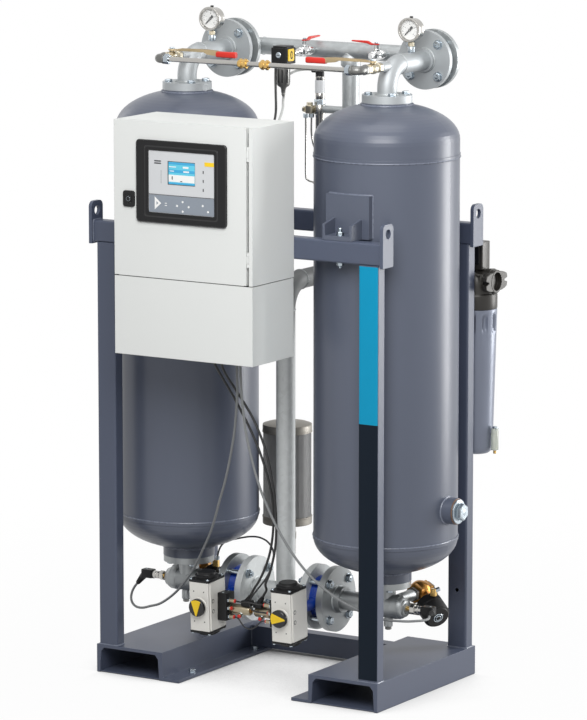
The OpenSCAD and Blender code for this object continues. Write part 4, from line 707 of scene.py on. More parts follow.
# Dark plates under the skids, put in as a painted shade sheet that darkens the inside of the channels
shade_plates = Part("skid_shade_plates", frame_paint)
half_x, half_y = SKID_W / 2 - 10, SKID_L / 2 - 3
for side in SIDES.values():
    shade_plates.block((side * SKID_X - half_x, -half_y, 0.4), (side * SKID_X + half_x, half_y, 3.4), 1.5)
shade_plates.done("frame_paint")


# Towers: beads at the seams, necks, bracket pads and fill bosses
def head_rise(r):
    return HEAD_H * math.sqrt(1 - (r / TOWER_R) ** 2)


def shell_depth(u):
    return math.sqrt(TOWER_R ** 2 - u ** 2)


welds = Part("tower_welds", weld_paint_painted_highlight)
for side in SIDES.values():
    at = vec(side * TOWER_X, 0, 0)
    welds.ring_weld(TOWER_R + 0.4, at + Z * (SHELL_TOP - 47), Z, 2.6)
    welds.ring_weld(TOWER_R + 0.4, at + Z * (SHELL_LOW + 6), Z, 2.6)
    welds.ring_weld(NECK_R + 1, at + Z * (SHELL_TOP + head_rise(NECK_R)), Z, 4.0)
    welds.ring_weld(FOOT_R + 1, at + Z * (SHELL_LOW - head_rise(FOOT_R)), Z, 5.0)
    for sy in (-1, 1):
        for edge in (-1, 1):
            corner = at + vec(edge * PAD_HALF, sy * shell_depth(PAD_HALF), 0)
            welds.weld([corner + Z * (FRAME_H + 2), corner + Z * PAD_TOP], 3.2)
        arch = [PAD_HALF * k / 6 for k in range(-6, 7)]
        welds.weld([at + vec(u, sy * shell_depth(u), PAD_TOP) for u in arch], 3.2)
    boss = [vec(side * (TOWER_X + shell_depth(u)), u, PLUG_Z + v) for u, v in circle(BOSS_R, 60)]
    welds.weld(boss, 3.4, True)
welds.done("vessel_paint")

# Fill plugs: seal ring, flanged plug and square-shouldered hexagon
plugs = Part("fill_plug_set", zinc)
for side in SIDES.values():
    out = X * side
    plugs.move(side * TOWER_X, 0, PLUG_Z)
    plugs.turn([(30, 192), (30, 227)], out)
    plugs.use(seal_brown).turn([(35, 226.6), (36, 227.4), (36, 229.6), (35, 230.4)], out, 48)
    flange = [(30, 230), (33.4, 230.2), (34, 231), (34, 234), (32.5, 235.2), (22, 235.6)]
    plugs.use(zinc).turn(flange, out, 48)
    plugs.hexagon(24, 235, 16, out, 2.4)
    plugs.turn([(9, 250.8), (9, 251.2), (7, 251.4)], out, 24)
plugs.done("zinc", replaces=["fill_plugs"])

# Bolts: washers, chamfered hexagons, shanks and threaded tips; a size is shank, head radius and head height
M10, M12, M14 = (5, 9.5, 9), (6, 10.5, 8), (7, 12, 10)
STUD = (6, 10.5, 10)
PITCH = 1.4


def washer(head_r, h):
    return [(head_r * 1.15, h), (head_r * 1.15, h + 1.4), (head_r, h + 1.7)]


def bolt(part, at, d, size, length, nut_at=None):
    r, head_r, head_h = size
    part.turn(washer(head_r, 0), -d, 28, at)
    part.hexagon(head_r, 1.5, head_h - 1.5, -d, 1.1, at)
    part.turn([(head_r * 0.5, head_h - 0.3), (head_r * 0.42, head_h + 0.2)], -d, 16, at)
    part.turn([(r, 0), (r, length if nut_at is None else nut_at)], d, 18, at)
    if nut_at is not None:
        part.turn(washer(head_r, nut_at), d, 28, at)
        part.hexagon(head_r, nut_at + 1.5, head_r - 2.0, d, 1.1, at)
        thread = []
        h = nut_at + head_r - 1.0
        while h < length - 1.0:
            thread += [(r, h), (r * 0.87, h + PITCH / 2)]
            h += PITCH
        part.turn([(r * 0.9, nut_at + head_r - 2.5)] + thread + [(r * 0.75, length)], d, 18, at)


bolts = Part("flange_bolt_set", zinc)
stud_tip = [(6, 9)] + [(5.2 if k % 2 else 6, 12 + k * PITCH / 2) for k in range(11)] + [(5, 21)]
for side in SIDES.values():
    for a in CORNERS:
        u, v = math.cos(a), math.sin(a)
        ring = vec(u, v, 0) * NECK_BOLT_R
        bolt(bolts, vec(side * TOWER_X, 0, NECK_TOP + 21) + ring, -Z, M12, 29)
        bolt(bolts, vec(side * TOWER_X, 0, NECK_LOW - 18) + ring, Z, M12, 32)
        ring = vec(u, 0, v) * CHECK_BOLT_R
        bolt(bolts, vec(side * TOWER_X, FLANGE_Y, LINE_Z) + ring, Y, M14, 76, 58)
        ring = vec(0, u, v) * MANIFOLD_BOLT_R
        bolt(bolts, vec(side * (VALVE_X + 40), 0, MANIFOLD_Z) + ring, X * -side, M14, 98, 80)
    for sy in (-1, 1):
        # Studs that hold the tower brackets down, and anchor bolts in the foot strips
        seat = vec(side * TOWER_X, sy * POST_Y, FRAME_H + 12)
        bolt(bolts, seat, -Z, STUD, 88, 72)
        bolts.turn(stud_tip, Z, 18, seat)
        bolt(bolts, (side * ANCHOR_X, sy * ANCHOR_Y, FOOT_T), -Z, M10, 7)
bolts.done("zinc", replaces=["flange_bolts"])

# Galvanised pipework: weld beads where pipes, flanges and bends meet
welds = Part("pipe_welds", galvanised)
seams = (
    (24.6, TOWER_X, PIPE_Y + 1, LINE_Z, Y, 2.6),
    (HEADER_BEAD_R, TOWER_X - 57, HEADER_Y, LINE_Z, X, 2.0),
    (31.5, TOWER_X, 0, NECK_TOP + 22, Z, 3.0),
    (33.4, TOWER_X, FLANGE_Y - 0.6, LINE_Z, Y, 2.6),
    (27.2, TOWER_X, 62, LINE_Z, Y, 1.4),
    (34.4, 94, 0, MANIFOLD_Z, X, 2.6),
    (27.4, 80, 0, MANIFOLD_Z, X, 2.4),
    (37.4, 174.4, 0, MANIFOLD_Z, X, 2.6),
    (29.4, TOWER_X, 0, 287, Z, 3.0),
)
for side in SIDES.values():
    for r, x, y, z, d, bead in seams:
        welds.ring_weld(r, (side * x, y, z), d, bead)
welds.weld([vec(u, v, MANIFOLD_Z + abs(u)) for u, v in circle(INLET_BEAD_R, 60)], 2.6, True)
welds.turn([(24.2, -44), (27.6, -42), (28.4, -39), (28.4, -22), (26, -14), (22, -8)], Z, 48,
           (OUTLET_X, HEADER_Y, LINE_Z))
welds.ring_weld(HEADER_BEAD_R, (OUTLET_X, HEADER_Y, OUTLET_BEND_Z), Z, 2.0)
welds.ring_weld(INLET_BEAD_R, (0, 0, INLET_Z - INLET_BEND), Z, 2.0)
welds.ring_weld(INLET_BEAD_R, (0, INLET_BEND, INLET_Z), Y, 2.0)
welds.ring_weld(INLET_BEAD_R, (0, PREFILTER_Y - INLET_BEND, INLET_Z), Y, 2.0)
welds.ring_weld(INLET_BEAD_R, (INLET_BEND, PREFILTER_Y, INLET_Z), X, 2.0)
welds.done("galvanised")

# Rounded cast ends and drain plugs on the tees
ends = Part("tee_ends", tee_zinc)
for side in SIDES.values():
    ends.move(0, 0, MANIFOLD_Z)
    ends.turn([(33.2, 352), (34.2, 353), (34.2, 364), (33.6, 366), (33.0, 374), (30.5, 382), (26, 388.5),
               (19, 392.5), (15, 393), (15, 396), (8, 396)], X * side, 48)
    ends.move(side * TEE_DRAIN_X, 0, MANIFOLD_Z)
    ends.turn([(11.6, -34), (12.4, -36), (12.4, -57), (11, -58.4)], Z, 28)
    ends.use(dull_steel).hexagon(9, 58, 9, -Z).use(tee_zinc)
ends.done("galvanised")

# Purge line: bright tube, brass unions, elbow fittings and ball valves
line = Part("purge_line", stainless)
line.move(0, PURGE_Y, LINE_Z).turn([(7, -PURGE_END), (7, PURGE_END)], X, 28)
line.use(brass)
for x in PURGE_UNIONS:
    line.move(x, PURGE_Y, LINE_Z)
    line.hexagon(14, -12, 9, X, 1.2)
    line.turn([(10.5, -3.2), (11.5, -2), (11.5, 2), (10.5, 3.2)], X, 32)
    line.hexagon(14, 3, 9, X, 1.2)
    line.turn([(8.2, -16), (9.4, -15), (9.4, -12)], X, 28)
    line.turn([(9.4, 12), (9.4, 15), (8.2, 16)], X, 28)
line.done("steel", replaces=["purge_tube"])

ends = Part("purge_end_fittings", dull_steel)
for side in SIDES.values():
    out = X * side
    ends.move(side * TOWER_X, PURGE_Y, LINE_Z)
    ends.use(dull_steel).sweep(smooth([out * -24, out * -13, out * -4 + Y * 4, Y * 13, Y * 30], 5), 12.2, 24)
    ends.turn([(13.4, -25), (14, -24), (14, -20), (13.4, -19)], out, 28)
    ends.use(zinc).hexagon(14.5, -40, 15, out, 1.4)
    ends.use(dull_steel).hexagon(14.5, 24, 14, Y, 1.4)
ends.done("dark_steel", replaces=["purge_fittings"])

valves = Part("purge_valve_bodies", nickel)
for side in SIDES.values():
    valves.move(side * TOWER_X, 0, LINE_Z)
    valves.use(nickel).hexagon(14, -112, 17, Y, 1.4)
    valves.turn([(10.5, -96), (11, -94), (12.5, -88), (15.2, -80), (15.6, -75), (15.2, -70), (12.5, -62),
                 (11, -56), (11, -53)], Y, 36)
    valves.hexagon(14, -54, 16, Y, 1.4)
    valves.move(side * TOWER_X, PURGE_STEM_Y, LINE_Z)
    valves.turn([(9.5, 8), (9.5, 11), (8, 12), (8, 15.4), (4, 15.5)], Z, 28)
    valves.use(dull_steel).turn([(4, 10), (4, 24), (3.2, 25)], Z, 18)
valves.done("brass", replaces=["purge_valves"])

for name, side in SIDES.items():
    placing = Matrix.Translation((side * TOWER_X, PURGE_STEM_Y, LINE_Z + 16)) @ Matrix.Scale(-side, 4, X)
    part = Part(name + "_purge_handle", yellow_zinc, placing)
    part.prism(arc(11, 33, 328) + [(20, -6), (20, 6)], ORIGIN, Z, 4, 0.6)
    # Arm with both edges folded up, and deeper where it enters the grip
    rings = []
    for x, low, high in ((14, 0.2, 4.2), (30, 0.2, 7.0), (108, 0.2, 8.0), (118, -5.0, 8.0), (152, -8.5, 6.0)):
        rings.append([(x, -6, high), (x, -6, low), (x, 6, low), (x, 6, high),
                      (x, 4.6, high), (x, 4.6, 1.8), (x, -4.6, 1.8), (x, -4.6, high)])
    part.loft(rings)
    part.use(zinc).hexagon(7.4, 4.2, 5, Z, 0.8)
    # Dipped grip with a swollen end
    rings = []
    for x, grow in ((147, 0.7), (148.5, 0.92), (152, 1.0), (190, 1.0), (202, 1.05), (208, 1.03), (211, 0.9),
                    (212, 0.62)):
        rings.append([(x, u * grow, -3.2 + v * grow) for u, v in rounded(15.2, 16.4, 4.5)])
    part.use(red_grip).loft(rings)
    part.done("red_grip", name + "_purge_handle", [name + "_purge_lever"])


# Pressure gauges: crimped bezel, dial with scale, vent plug and threaded stem
def numeral(part, text, size, at):
    letters = bpy.data.curves.new("numeral", "FONT")
    letters.body = text
    letters.size = size
    letters.align_x = "CENTER"
    letters.align_y = "CENTER"
    holder = bpy.data.objects.new("numeral", letters)
    mesh = bpy.data.meshes.new_from_object(holder)
    first = len(part.points)
    part.points += [part.placing @ (at + vec(v.co.x, 0, v.co.y)) for v in mesh.vertices]
    part.faces += [tuple(first + i for i in f.vertices) for f in mesh.polygons]
    part.kinds += [part.kind] * len(mesh.polygons)
    bpy.data.objects.remove(holder)
    bpy.data.curves.remove(letters)
    bpy.data.meshes.remove(mesh)


def dial_way(share):
    return math.radians(GAUGE_START - GAUGE_SWEEP * share)


cases = Part("gauge_bodies", stainless)
for side in SIDES.values():
    cases.move(side * TOWER_X, GAUGE_FRONT, GAUGE_Z)
    cases.use(stainless).turn([(0, 10), (26.8, 10), (27.4, 2.2), (28.6, 0.6), (31, 0), (33, 0.6), (34, 2.2),
                               (34, 8.4), (33, 9.6), (31.4, 10), (31, 12), (31, 35), (29, 37.6), (26, 38),
                               (0, 38)], Y, 64)
    cases.use(mark_white).turn([(26.6, 9.3), (26.6, 9.9)], Y, 56)
    cases.use(gloss_black)
    for k in range(41):
        a = dial_way(k / 40)
        long = k % 5 == 0
        out = vec(math.cos(a), 0, math.sin(a))
        wide = vec(-math.sin(a), 0, math.cos(a)) * (0.5 if long else 0.22)
        low, high = out * (19.5 if long else 22.2), out * 25
        tick = [low - wide, high - wide, high + wide, low + wide]
        cases.loft([[p + Y * h for p in tick] for h in (9.15, 9.25)])
    for k in range(5):
        a = dial_way(k / 4)
        numeral(cases, str(4 * k), 5.2, vec(math.cos(a) * 15.5, 9.1, math.sin(a) * 15.5))
    cases.use(stainless).turn([(2, 6.2), (2, 9.6)], Y, 16)
    cases.move(side * TOWER_X, GAUGE_FRONT + GAUGE_STEM, GAUGE_Z)
    cases.use(nickel).hexagon(9, -46, 12)
    cases.turn([(6, -36), (6, -28)], Z, 24)
    cases.use(zinc).turn([(9.6, -62), (10.2, -61), (10.2, -48), (9, -46)], Z, 28)
    cases.use(black_plastic).turn([(4, 29), (4, 33), (5, 33.5), (5, 36), (3.6, 37)], Z, 20)
cases.done("steel", replaces=["gauge_cases"])

half = [(-12, -3.4), (-8, -3.8), (-3, -2.6), (18, -1.6), (22, -0.6)]
outline = half + [(u, -v) for u, v in reversed(half)]
along, across = vec(-1, 0, -1).normalized(), vec(1, 0, -1).normalized()
for name, side in SIDES.items():
    needle = Part(name + "_needle", black_plastic).move(side * TOWER_X, GAUGE_FRONT + 7, GAUGE_Z)
    needle.loft([[along * u + across * v + Y * h for u, v in outline] for h in (0.2, 1.3)])
    needle.turn([(3.8, -0.2), (4, 0.2), (4, 1.4), (3.4, 1.6)], Y, 24)
    needle.done("dark_steel", name + "_pointer", [name + "_gauge_pointer"])

# Pilot filter: moulded head, front screw, yellow clip and slotted bowl guard
head = Part("filter_body", black_plastic).move(PILOT_X, FILTER_BACK - 25, LINE_Z)
head.block((-26, -25, -25), (26, 25, 20), 4)
head.prism(rounded(46, 44, 5), Z * 19, Z, 6, 1.5)
head.use(zinc).turn([(8.6, 24.6), (8.6, 27), (7, 28.4), (2, 28.6)], -Y, 28)
head.use(mark_dark).block((-5, -29, -0.8), (5, -28.4, 0.8), 0.5)
head.use(signal_yellow).prism(rounded(30, 34, 4), (25.6, -3, 0), X, 3, 0.8)
head.use(black_plastic).prism(rounded(11, 22, 5.4), (28.4, -3, 0), X, 1.0, 0.3)
head.use(signal_yellow).prism(rounded(5, 14, 2.4), (29, -3, 0), X, 0.8, 0.3)
head.use(black_plastic).turn([(5.4, -33.2), (5.8, -32), (5.8, -24)], Z, 24, (-12, -22, 0))
head.done("black_plastic", replaces=["pilot_filter"])

bowl = Part("filter_bowl", dull_steel).move(PILOT_X, FILTER_BACK - 25, LINE_Z - 25)
bowl.turn([(16, 9), (19, 0), (20.4, -2), (20.4, -9), (18.6, -10), (18.6, -58), (15.5, -63), (9, -67),
           (7, -71), (6, -82)])
bowl.use(gloss_black)
for u, v in circle(1, 8, math.pi / 8):
    out = vec(u, v, 0)
    bowl.prism(rounded(5.2, 38, 2.4), out * 18.2 - Z * 34, out, 0.8, 0.3)
bowl.use(dull_steel).turn([(5, -81), (5.4, -83), (5.4, -88), (4, -89), (4, -92)], Z, 20)
bowl.done("dark_steel", replaces=["pilot_bowl"])

# Small chrome ball valves on the header and their levers
small = Part("small_valves", chrome)
for x, front in ((PILOT_X, FILTER_BACK), (SAMPLE_X, MINI_BOSS_Y - 68)):
    small.move(x, 0, LINE_Z)
    small.use(chrome).hexagon(13, MINI_BOSS_Y - 14, 14, Y, 1.2)
    small.turn([(10, MINI_BOSS_Y - 48), (11.5, MINI_BOSS_Y - 44), (14, MINI_Y - 6), (14.4, MINI_Y),
                (14, MINI_Y + 6), (11.5, MINI_BOSS_Y - 18), (10, MINI_BOSS_Y - 12)], Y, 36)
    small.hexagon(13, MINI_BOSS_Y - 60, 14, Y, 1.2)
    small.turn([(6.4, front), (7, front + 1), (7, MINI_BOSS_Y - 59)], Y, 24)
    small.move(x, MINI_Y, LINE_Z)
    small.turn([(8.6, 10), (8.6, 17), (7, 18.5), (7, 29.4)], Z, 28)
    small.use(dull_steel).turn([(3.4, 20), (3.4, 35.4), (2.6, 36)], Z, 18)
small.done("chrome", replaces=["pilot_valves"])

for name, x, angle in (("pilot", PILOT_X, 90), ("sample", SAMPLE_X, 180)):
    placing = Matrix.Translation((x, MINI_Y, MINI_LEVER_Z)) @ Matrix.Rotation(math.radians(angle), 4, "Z")
    part = Part(name + "_handle_lever", red_grip, placing)
    part.prism(arc(8, 40, 321) + [(14, -5), (14, 5)], ORIGIN, Z, 3, 0.6)
    # Blade that steps up from the hub, then runs flat to its rounded end
    rings = []
    for u, z, half, tall in ((12, 0.5, 5, 4), (18, 1.2, 5, 5.5), (26, 5.0, 5, 7), (32, 6.2, 5, 7),
                             (60, 7.2, 4.8, 5), (76, 7.6, 4.4, 4), (80, 7.6, 3.0, 3.4)):
        rings.append([(u, w, z + h) for w, h in rounded(2 * half, tall, 1.3, 3)])
    part.loft(rings)
    part.use(zinc).hexagon(6, 3.2, 4, Z, 0.7)
    part.done("red_grip", name + "_handle", [name + "_lever"])

# Dew point sensor: cell with fittings, sleeve, angle connector and sample tubes
cell = Part("sensor_assembly", stainless).move(*SENSOR)
cell.turn([(11, -78), (13.4, -76), (13.4, -16), (16, -14), (16.4, -12), (16.4, 10), (15, 13)])
cell.use(zinc).hexagon(16, 13, 15, Z, 1.4)
cell.use(stainless).turn([(13, 27.6), (13.6, 29), (13.6, 46), (13.2, 46.6)])
cell.use(grey_plastic).turn([(13.4, 46), (13.9, 46.6), (13.9, 82), (13.4, 82.6)])
cell.use(stainless).turn([(13.2, 82), (13.6, 82.6), (13.6, 92), (12, 93.6)])
cell.use(black_plastic)
cell.turn([(11, 93), (12.4, 94), (12.4, 103), (11.4, 104), (12, 105), (12, 116), (10, 118.4)], Z, 36)
cell.turn([(9, 0), (9, 12), (8, 13), (8, 24), (6.4, 26)], -X, 28, Z * 110)
cell.use(nickel).block((-34, -26, -12), (-12, -6, 10), 3)
cell.hexagon(8, 0, 8, -X, 0.8, (-38, -16, -2))
cell.hexagon(9, 0, 10, Z, 0.8, (-24, -16, 9))
cell.use(zinc).hexagon(7.6, 0, 12, -Z, 0.8, (-37, -16, -14))
cell.hexagon(7.6, 0, 12, -Z, 0.8, (-18, -16, -12))
cell.use(stainless)
tube_end = (-24, 6, -212)
cell.sweep(smooth([(-37, -16, -20), (-37, -16, -90), (-37, -16, -186), (-34, -10, -204), tube_end]), 2.6, 14)
cell.sweep(smooth([(-18, -16, -20), (-18, -16, -70), (-14, -8, -108), (-4, 0, -118)]), 2.6, 14)
cell.turn([(4.5, 0), (4.5, 9), (3.4, 10)], (0.45, 0.8, -0.4), 18, tube_end)
cell.done("steel", replaces=["dew_point_sensor"])

# Display: screen with bars, key strip and signal marks on the panel
FACE_Y = BOX_Y - 3
PANEL_X, PANEL_Z, PANEL_W, PANEL_H = -32, 1439.5, 212, 169
PANEL_LOW, PANEL_TOP = PANEL_Z - PANEL_H / 2, PANEL_Z + PANEL_H / 2
SPLIT_Z, SCREEN_Z = PANEL_Z - 35, PANEL_Z + 26
face = Part("display_face", grey_plastic)


def mark(x, z, w, h, material, lift=0.5, r=0.6):
    face.use(material).prism(rounded(w, h, r, 2), (x, FACE_Y + 0.1, z), -Y, lift + 0.1, 0.15)


mark(PANEL_X, (SPLIT_Z + PANEL_TOP) / 2, PANEL_W - 3, PANEL_TOP - SPLIT_Z - 2.6, grey_plastic, 0.4)
mark(PANEL_X, (SPLIT_Z + PANEL_LOW) / 2, PANEL_W - 3, SPLIT_Z - PANEL_LOW - 2.6, key_grey, 0.4)
mark(PANEL_X, SPLIT_Z, PANEL_W - 1, 1.6, mark_dark, 0.5, 0.4)
mark(PANEL_X, SCREEN_Z, 88, 64, mark_dark)
mark(PANEL_X + 1, SCREEN_Z, 84, 60, screen_blue, 0.7)
for z, h, material in ((26.5, 6, screen_deep), (5.5, 8, screen_deep), (-14, 19, mark_white),
                       (-27.5, 4, screen_deep)):
    mark(PANEL_X + 1, SCREEN_Z + z, 83, h, material, 0.85, 0.3)
for x, z, w, h in ((-28, 17, 22, 2.2), (14, 17, 18, 5), (-30, 5.5, 14, 2.2), (16, 5.5, 18, 4),
                   (-29, -13, 3, 9), (0, -21, 6, 2.4)):
    mark(PANEL_X + x, SCREEN_Z + z, w, h, label_dark if z < 0 else mark_white, 1.0, 0.4)
mark(57, PANEL_Z + 56, 30, 11, signal_yellow, 0.6)
for z in (34, 10, -14):
    mark(38, PANEL_Z + z, 3.4, 8, mark_dark, 0.6)
for z in (56, 50):
    mark(-108, PANEL_Z + z, 22, 3.6, mark_dark, 0.6)
mark(-97, PANEL_Z + 14, 0.8, 36, mark_dark, 0.6, 0.3)
for x, z in ((-28, 11), (-28, -18), (-46, -2), (-9, -3), (36, 4), (53, -13)):
    mark(x, SPLIT_Z - 25 + z * 0.9, 6, 6, mark_white, 0.9, 2.6)
for z in (2, -4):
    mark(-82, SPLIT_Z - 24 + z, 7, 2, mark_white, 0.7, 0.5)
face.use(mark_white).prism([(-118, -41), (-97, -23), (-118, -6)], (0, FACE_Y + 0.1, SPLIT_Z), -Y, 0.9, 0.2)
arrow = [(-112, -28), (-106, -23.2), (-112, -18.5)]
face.use(key_grey).prism(arrow, (0, FACE_Y - 0.6, SPLIT_Z), -Y, 0.4, 0.1)
# Rounded outer edge and sloped inner frame of the bezel
rim = [(PANEL_X + u, BOX_Y - 5, PANEL_Z + v) for u, v in rounded(285, 220, 9)]
face.use(gloss_black).sweep(rim, 2.2, 10, True)
slope = ((238, 195, 8, -5.6), (234, 191, 8, -6.8), (214, 171, 4, -3.6), (214, 171, 4, -2.6))
rings = []
for w, h, r, y in slope:
    rings.append([(PANEL_X + u, BOX_Y + y, PANEL_Z + v) for u, v in rounded(w, h, r)])
face.loft(rings, True)
face.done("grey_plastic", "door")

# Latch: black escutcheon on the door, keyed core on the latch
plate = Part("latch_plate", black_plastic).move(*LATCH)
plate.ring_plate(rounded(37, 44, 7), 11.7, Y * 0.5, -Y, 6.2, 96, 1.2)
plate.done("black_plastic", "door")
core = Part("latch_core", black_plastic).move(*LATCH)
core.turn([(11.2, -1), (11.2, 6.4), (10.2, 7.4), (8.4, 7.4), (8.2, 6.6), (4.6, 6.6), (4.6, 8.0),
           (4.0, 8.4)], -Y)
core.use(zinc).turn([(6.2, 6.4), (6.4, 7.2), (5.6, 7.4), (5.6, 6.4)], -Y, 36, loop=True)
core.done("black_plastic", "latch")

# Cabinet: cable glands under the cover and at the back, dark seal in the cover gap
glands = Part("cable_glands", black_plastic)


def gland(at, d):
    glands.move(*at).hexagon(12, 5, 7, d, 0.8)
    glands.turn([(3.7, 0), (6.6, 0.2), (8.6, 1.4), (9.6, 5.2)], d, 28)
    x, y, z = basis(d)
    for u, v in circle(8.4, 12):
        glands.prism(rounded(1.6, 3, 0.7, 2), x * u + y * v + z * 1.2, d, 4, 0.2)


for x, y in ((-30, -325), (0, -335), (42, -320), (72, -350)):
    gland((x, y, COVER_LOW + 14), Z)
for x in (-70, -20):
    gland((x, 14 - BEAM_FACE, 1455), -Y)
glands.done("black_plastic")

seal = Part("cover_seal", black_plastic)
seal.block((BOX_X + 3, BOX_Y + 3, BOX_LOW - 1.9), (BOX_RIGHT - 3, -BEAM_FACE - 8, BOX_LOW - 0.1), 1)
for x in (BOX_X + 7, BOX_RIGHT - 22):
    seal.block((x - 6, BOX_Y - 0.3, BOX_LOW - 1.8), (x + 8, BOX_Y + 3, BOX_LOW + 1.6), 0.8)
seal.done("black_plastic")


# Valve actuators, all leaning with the valves
def valve_frame(side):
    lean = Matrix.Rotation(math.radians(VALVE_TILT), 4, "X")
    return Matrix.Translation((side * VALVE_X, 0, MANIFOLD_Z)) @ lean


housings = Part("actuator_housings", white_coat)
covers = Part("actuator_covers", black_plastic)
half = [(29, -44.5), (31, -43), (31, -38.4), (29.6, -37.4), (29.6, -35.6), (33, -34), (33, 34), (29.6, 35.6),
        (29.6, 37.4), (31, 38.4), (31, 43), (29, 44.5)]
extrusion = half + [(-x, y) for x, y in reversed(half)]
dome_shape = ((33, 0.42), (31, 0.52), (27.4, 0.56), (26.6, 0.62), (26.2, 0.9), (24, 1), (0, 1))
for side in SIDES.values():
    for part in (housings, covers):
        part.placing = valve_frame(side)
    housings.use(white_coat).prism(extrusion, (0, -197.5, -69.5), Z, 139, 0.5)
    housings.turn([(25.6, 241), (26, 242), (26, 244.4), (25.4, 245)], -Y, 48)
    for x in (-16.5, 16.5):
        for z in (-42.5, 43.5):
            housings.use(mark_dark).turn([(1.9, 241.6), (1.9, 242.3)], -Y, 14, (x, 0, z))
    port = [(6.2, 0), (6.2, 2.6), (5, 3.4), (4.6, 3.4), (4.2, 2), (0, 2)]
    for edge in (-1, 1):
        for z in (-14, 15):
            housings.use(dull_steel).turn(port, X * edge, 28, (edge * 30.6, -221, z))
    for z, d, dome in ((69.5, Z, 17), (-69.5, -Z, 10)):
        at = vec(0, -199, z)
        covers.use(black_plastic).prism(rounded(68, 88, 7), at, d, 7, 1.4)
        covers.turn([(33, 6.6)] + [(r, 7 + dome * share) for r, share in dome_shape], d, 56, at)
        for x in (-27, 27):
            for y in (-37, 37):
                screw = [(4.6, 6.8), (4.6, 9.6), (4, 10.4), (2, 10.4), (2, 8.6)]
                covers.use(zinc).turn(screw, d, 20, at + vec(x, y, 0))
housings.done("white_body", replaces=["actuator_bodies"])
covers.done("black_plastic", replaces=["actuator_caps"])

# Spindles: disc in the valve, shaft, and the pointer knob with its yellow wedge
wedge = [(-1.6, -22.4), (1.6, -22.4), (15.4, 18.6), (8, 21.4), (0, 22.4), (-8, 21.4), (-15.4, 18.6)]
for name, side, angle in (("left", -1, 0), ("right", 1, -90)):
    placing = valve_frame(side) @ Matrix.Rotation(math.radians(angle), 4, "Y")
    part = Part(name + "_position_knob", gloss_black, placing)
    part.use(stainless).turn([(6, -58), (6, 247)], -Y, 24)
    part.turn([(18.6, -3), (19.4, -1.6), (19.4, 1.6), (18.6, 3)], X, 48)
    part.turn([(8, -17), (9, -16), (9, 16), (8, 17)], -Y, 28)
    part.use(gloss_black).turn([(23.6, 248), (25, 249.4), (25, 256.4), (24, 258), (22.6, 258.8),
                                (21.8, 258.2), (0, 258.2)], -Y, 56)
    part.use(signal_yellow).prism(wedge, (0, -257.6, 0), -Y, 3.2, 0.6)
    part.done("black_plastic", name + "_spindle", [name + "_valve_spindle"])

# Pilot solenoids: mounting block, coil, plug with gland, push-in fittings with red rings
coils = Part("solenoid_blocks", black_plastic)


def push_in(at, d, long):
    coils.use(zinc).hexagon(7, 0, 5, d, 0.6, at)
    coils.use(cream).turn([(5.4, 4.6), (6, 5.4), (6, long - 3), (5.4, long - 2.4)], d, 24, at)
    coils.use(red_grip).turn([(5.6, long - 2.6), (5.6, long), (4.4, long + 1), (2.2, long + 1)], d, 24, at)


for side in SIDES.values():
    inner = X * -side
    low, high = sorted((side * COIL_X, side * (COIL_X + 30)))
    coils.use(black_plastic).block((low, -200, 178), (high, -156, 256), 3)
    for y in (-192, -164):
        coils.use(zinc).turn([(3.4, 0), (3.4, 1.6), (1.6, 2.2)], Z, 16, (side * (COIL_X + 15), y, 256))
    at = vec(side * COIL_X, COIL_Y, 209)
    coils.use(cream).turn([(15, 0), (15, 8), (13.6, 8.6), (13.6, 12), (15, 12.6), (15, 44), (13.8, 46),
                           (13.8, 60), (12, 63)], inner, 36, at)
    coils.use(bronze).turn([(7, 62), (7, 65.4), (5, 66)], inner, 24, at)
    plug_x = side * COIL_PLUG_X
    coils.use(black_plastic).block((plug_x - 14, -184, 222), (plug_x + 14, -156, 238), 2.4)
    coils.use(zinc).turn([(3, 0), (3, 1.2), (1.4, 1.6)], Z, 16, (plug_x - side * 7, COIL_Y, 238))
    coils.use(black_plastic).turn([(8.6, 0), (8.6, 8), (7.8, 8.6), (7.8, 10), (7.4, 11), (7.4, 13), (6.6, 14),
                                   (6.6, 16), (6, 17), (6, 21.8), (3.6, 22)], (0.55, -0.2, 0.81), 24,
                                  (plug_x, COIL_Y, 234))
    push_in((side * COIL_X, -190, 236), inner, 24)
    push_in((side * COIL_X, -190, 214), inner, 12)
    push_in((side * COIL_X, -188, 190), inner, 20)
    push_in((side * 34, -180, 200), (0, -0.9, -0.44), 14)
coils.done("black_plastic", replaces=["pilot_solenoids"])

# Pressure transducers: steel bodies with angled plugs and ribbed tails
gauges = Part("transducer_set", stainless)
for side, lead in ((-1, (-0.65, 0, -0.76)), (1, (0.35, -0.9, -0.1))):
    out = X * side
    gauges.move(0, 0, MANIFOLD_Z)
    gauges.use(brass).turn([(6.4, 366), (6.4, 404), (8.6, 405), (8.6, 409)], out, 24)
    gauges.use(stainless).hexagon(14, 408, 14, out, 1.2)
    gauges.turn([(10.2, 421), (11, 422.4), (11, 432), (10.2, 433), (10.2, 434.4), (11, 435.4), (11, 446),
                 (10, 447)], out, 36)
    low, high = sorted((side * 446, side * 482))
    gauges.use(black_plastic).block((low, -13, -11), (high, 13, 13), 3.4)
    gauges.turn([(12.6, 444), (12.6, 451), (11.4, 452)], out, 28)
    gauges.use(zinc).turn([(3, 0), (3, 1.4), (1.4, 1.8)], Z, 16, (side * 470, 0, 13))
    tail = [(10, 2), (10, 16)]
    for k in range(6):
        rib_r, groove_r, h = 9.4 - 0.5 * k, 8.2 - 0.5 * k, 17 + 4.2 * k
        tail += [(rib_r, h), (rib_r, h + 2), (groove_r, h + 2.6), (groove_r, h + 3.6)]
    gauges.use(black_plastic).turn(tail + [(5.4, 43), (3.6, 44)], lead, 28, (side * 474, 0, 0))
gauges.done("steel", replaces=["pressure_transducers"])

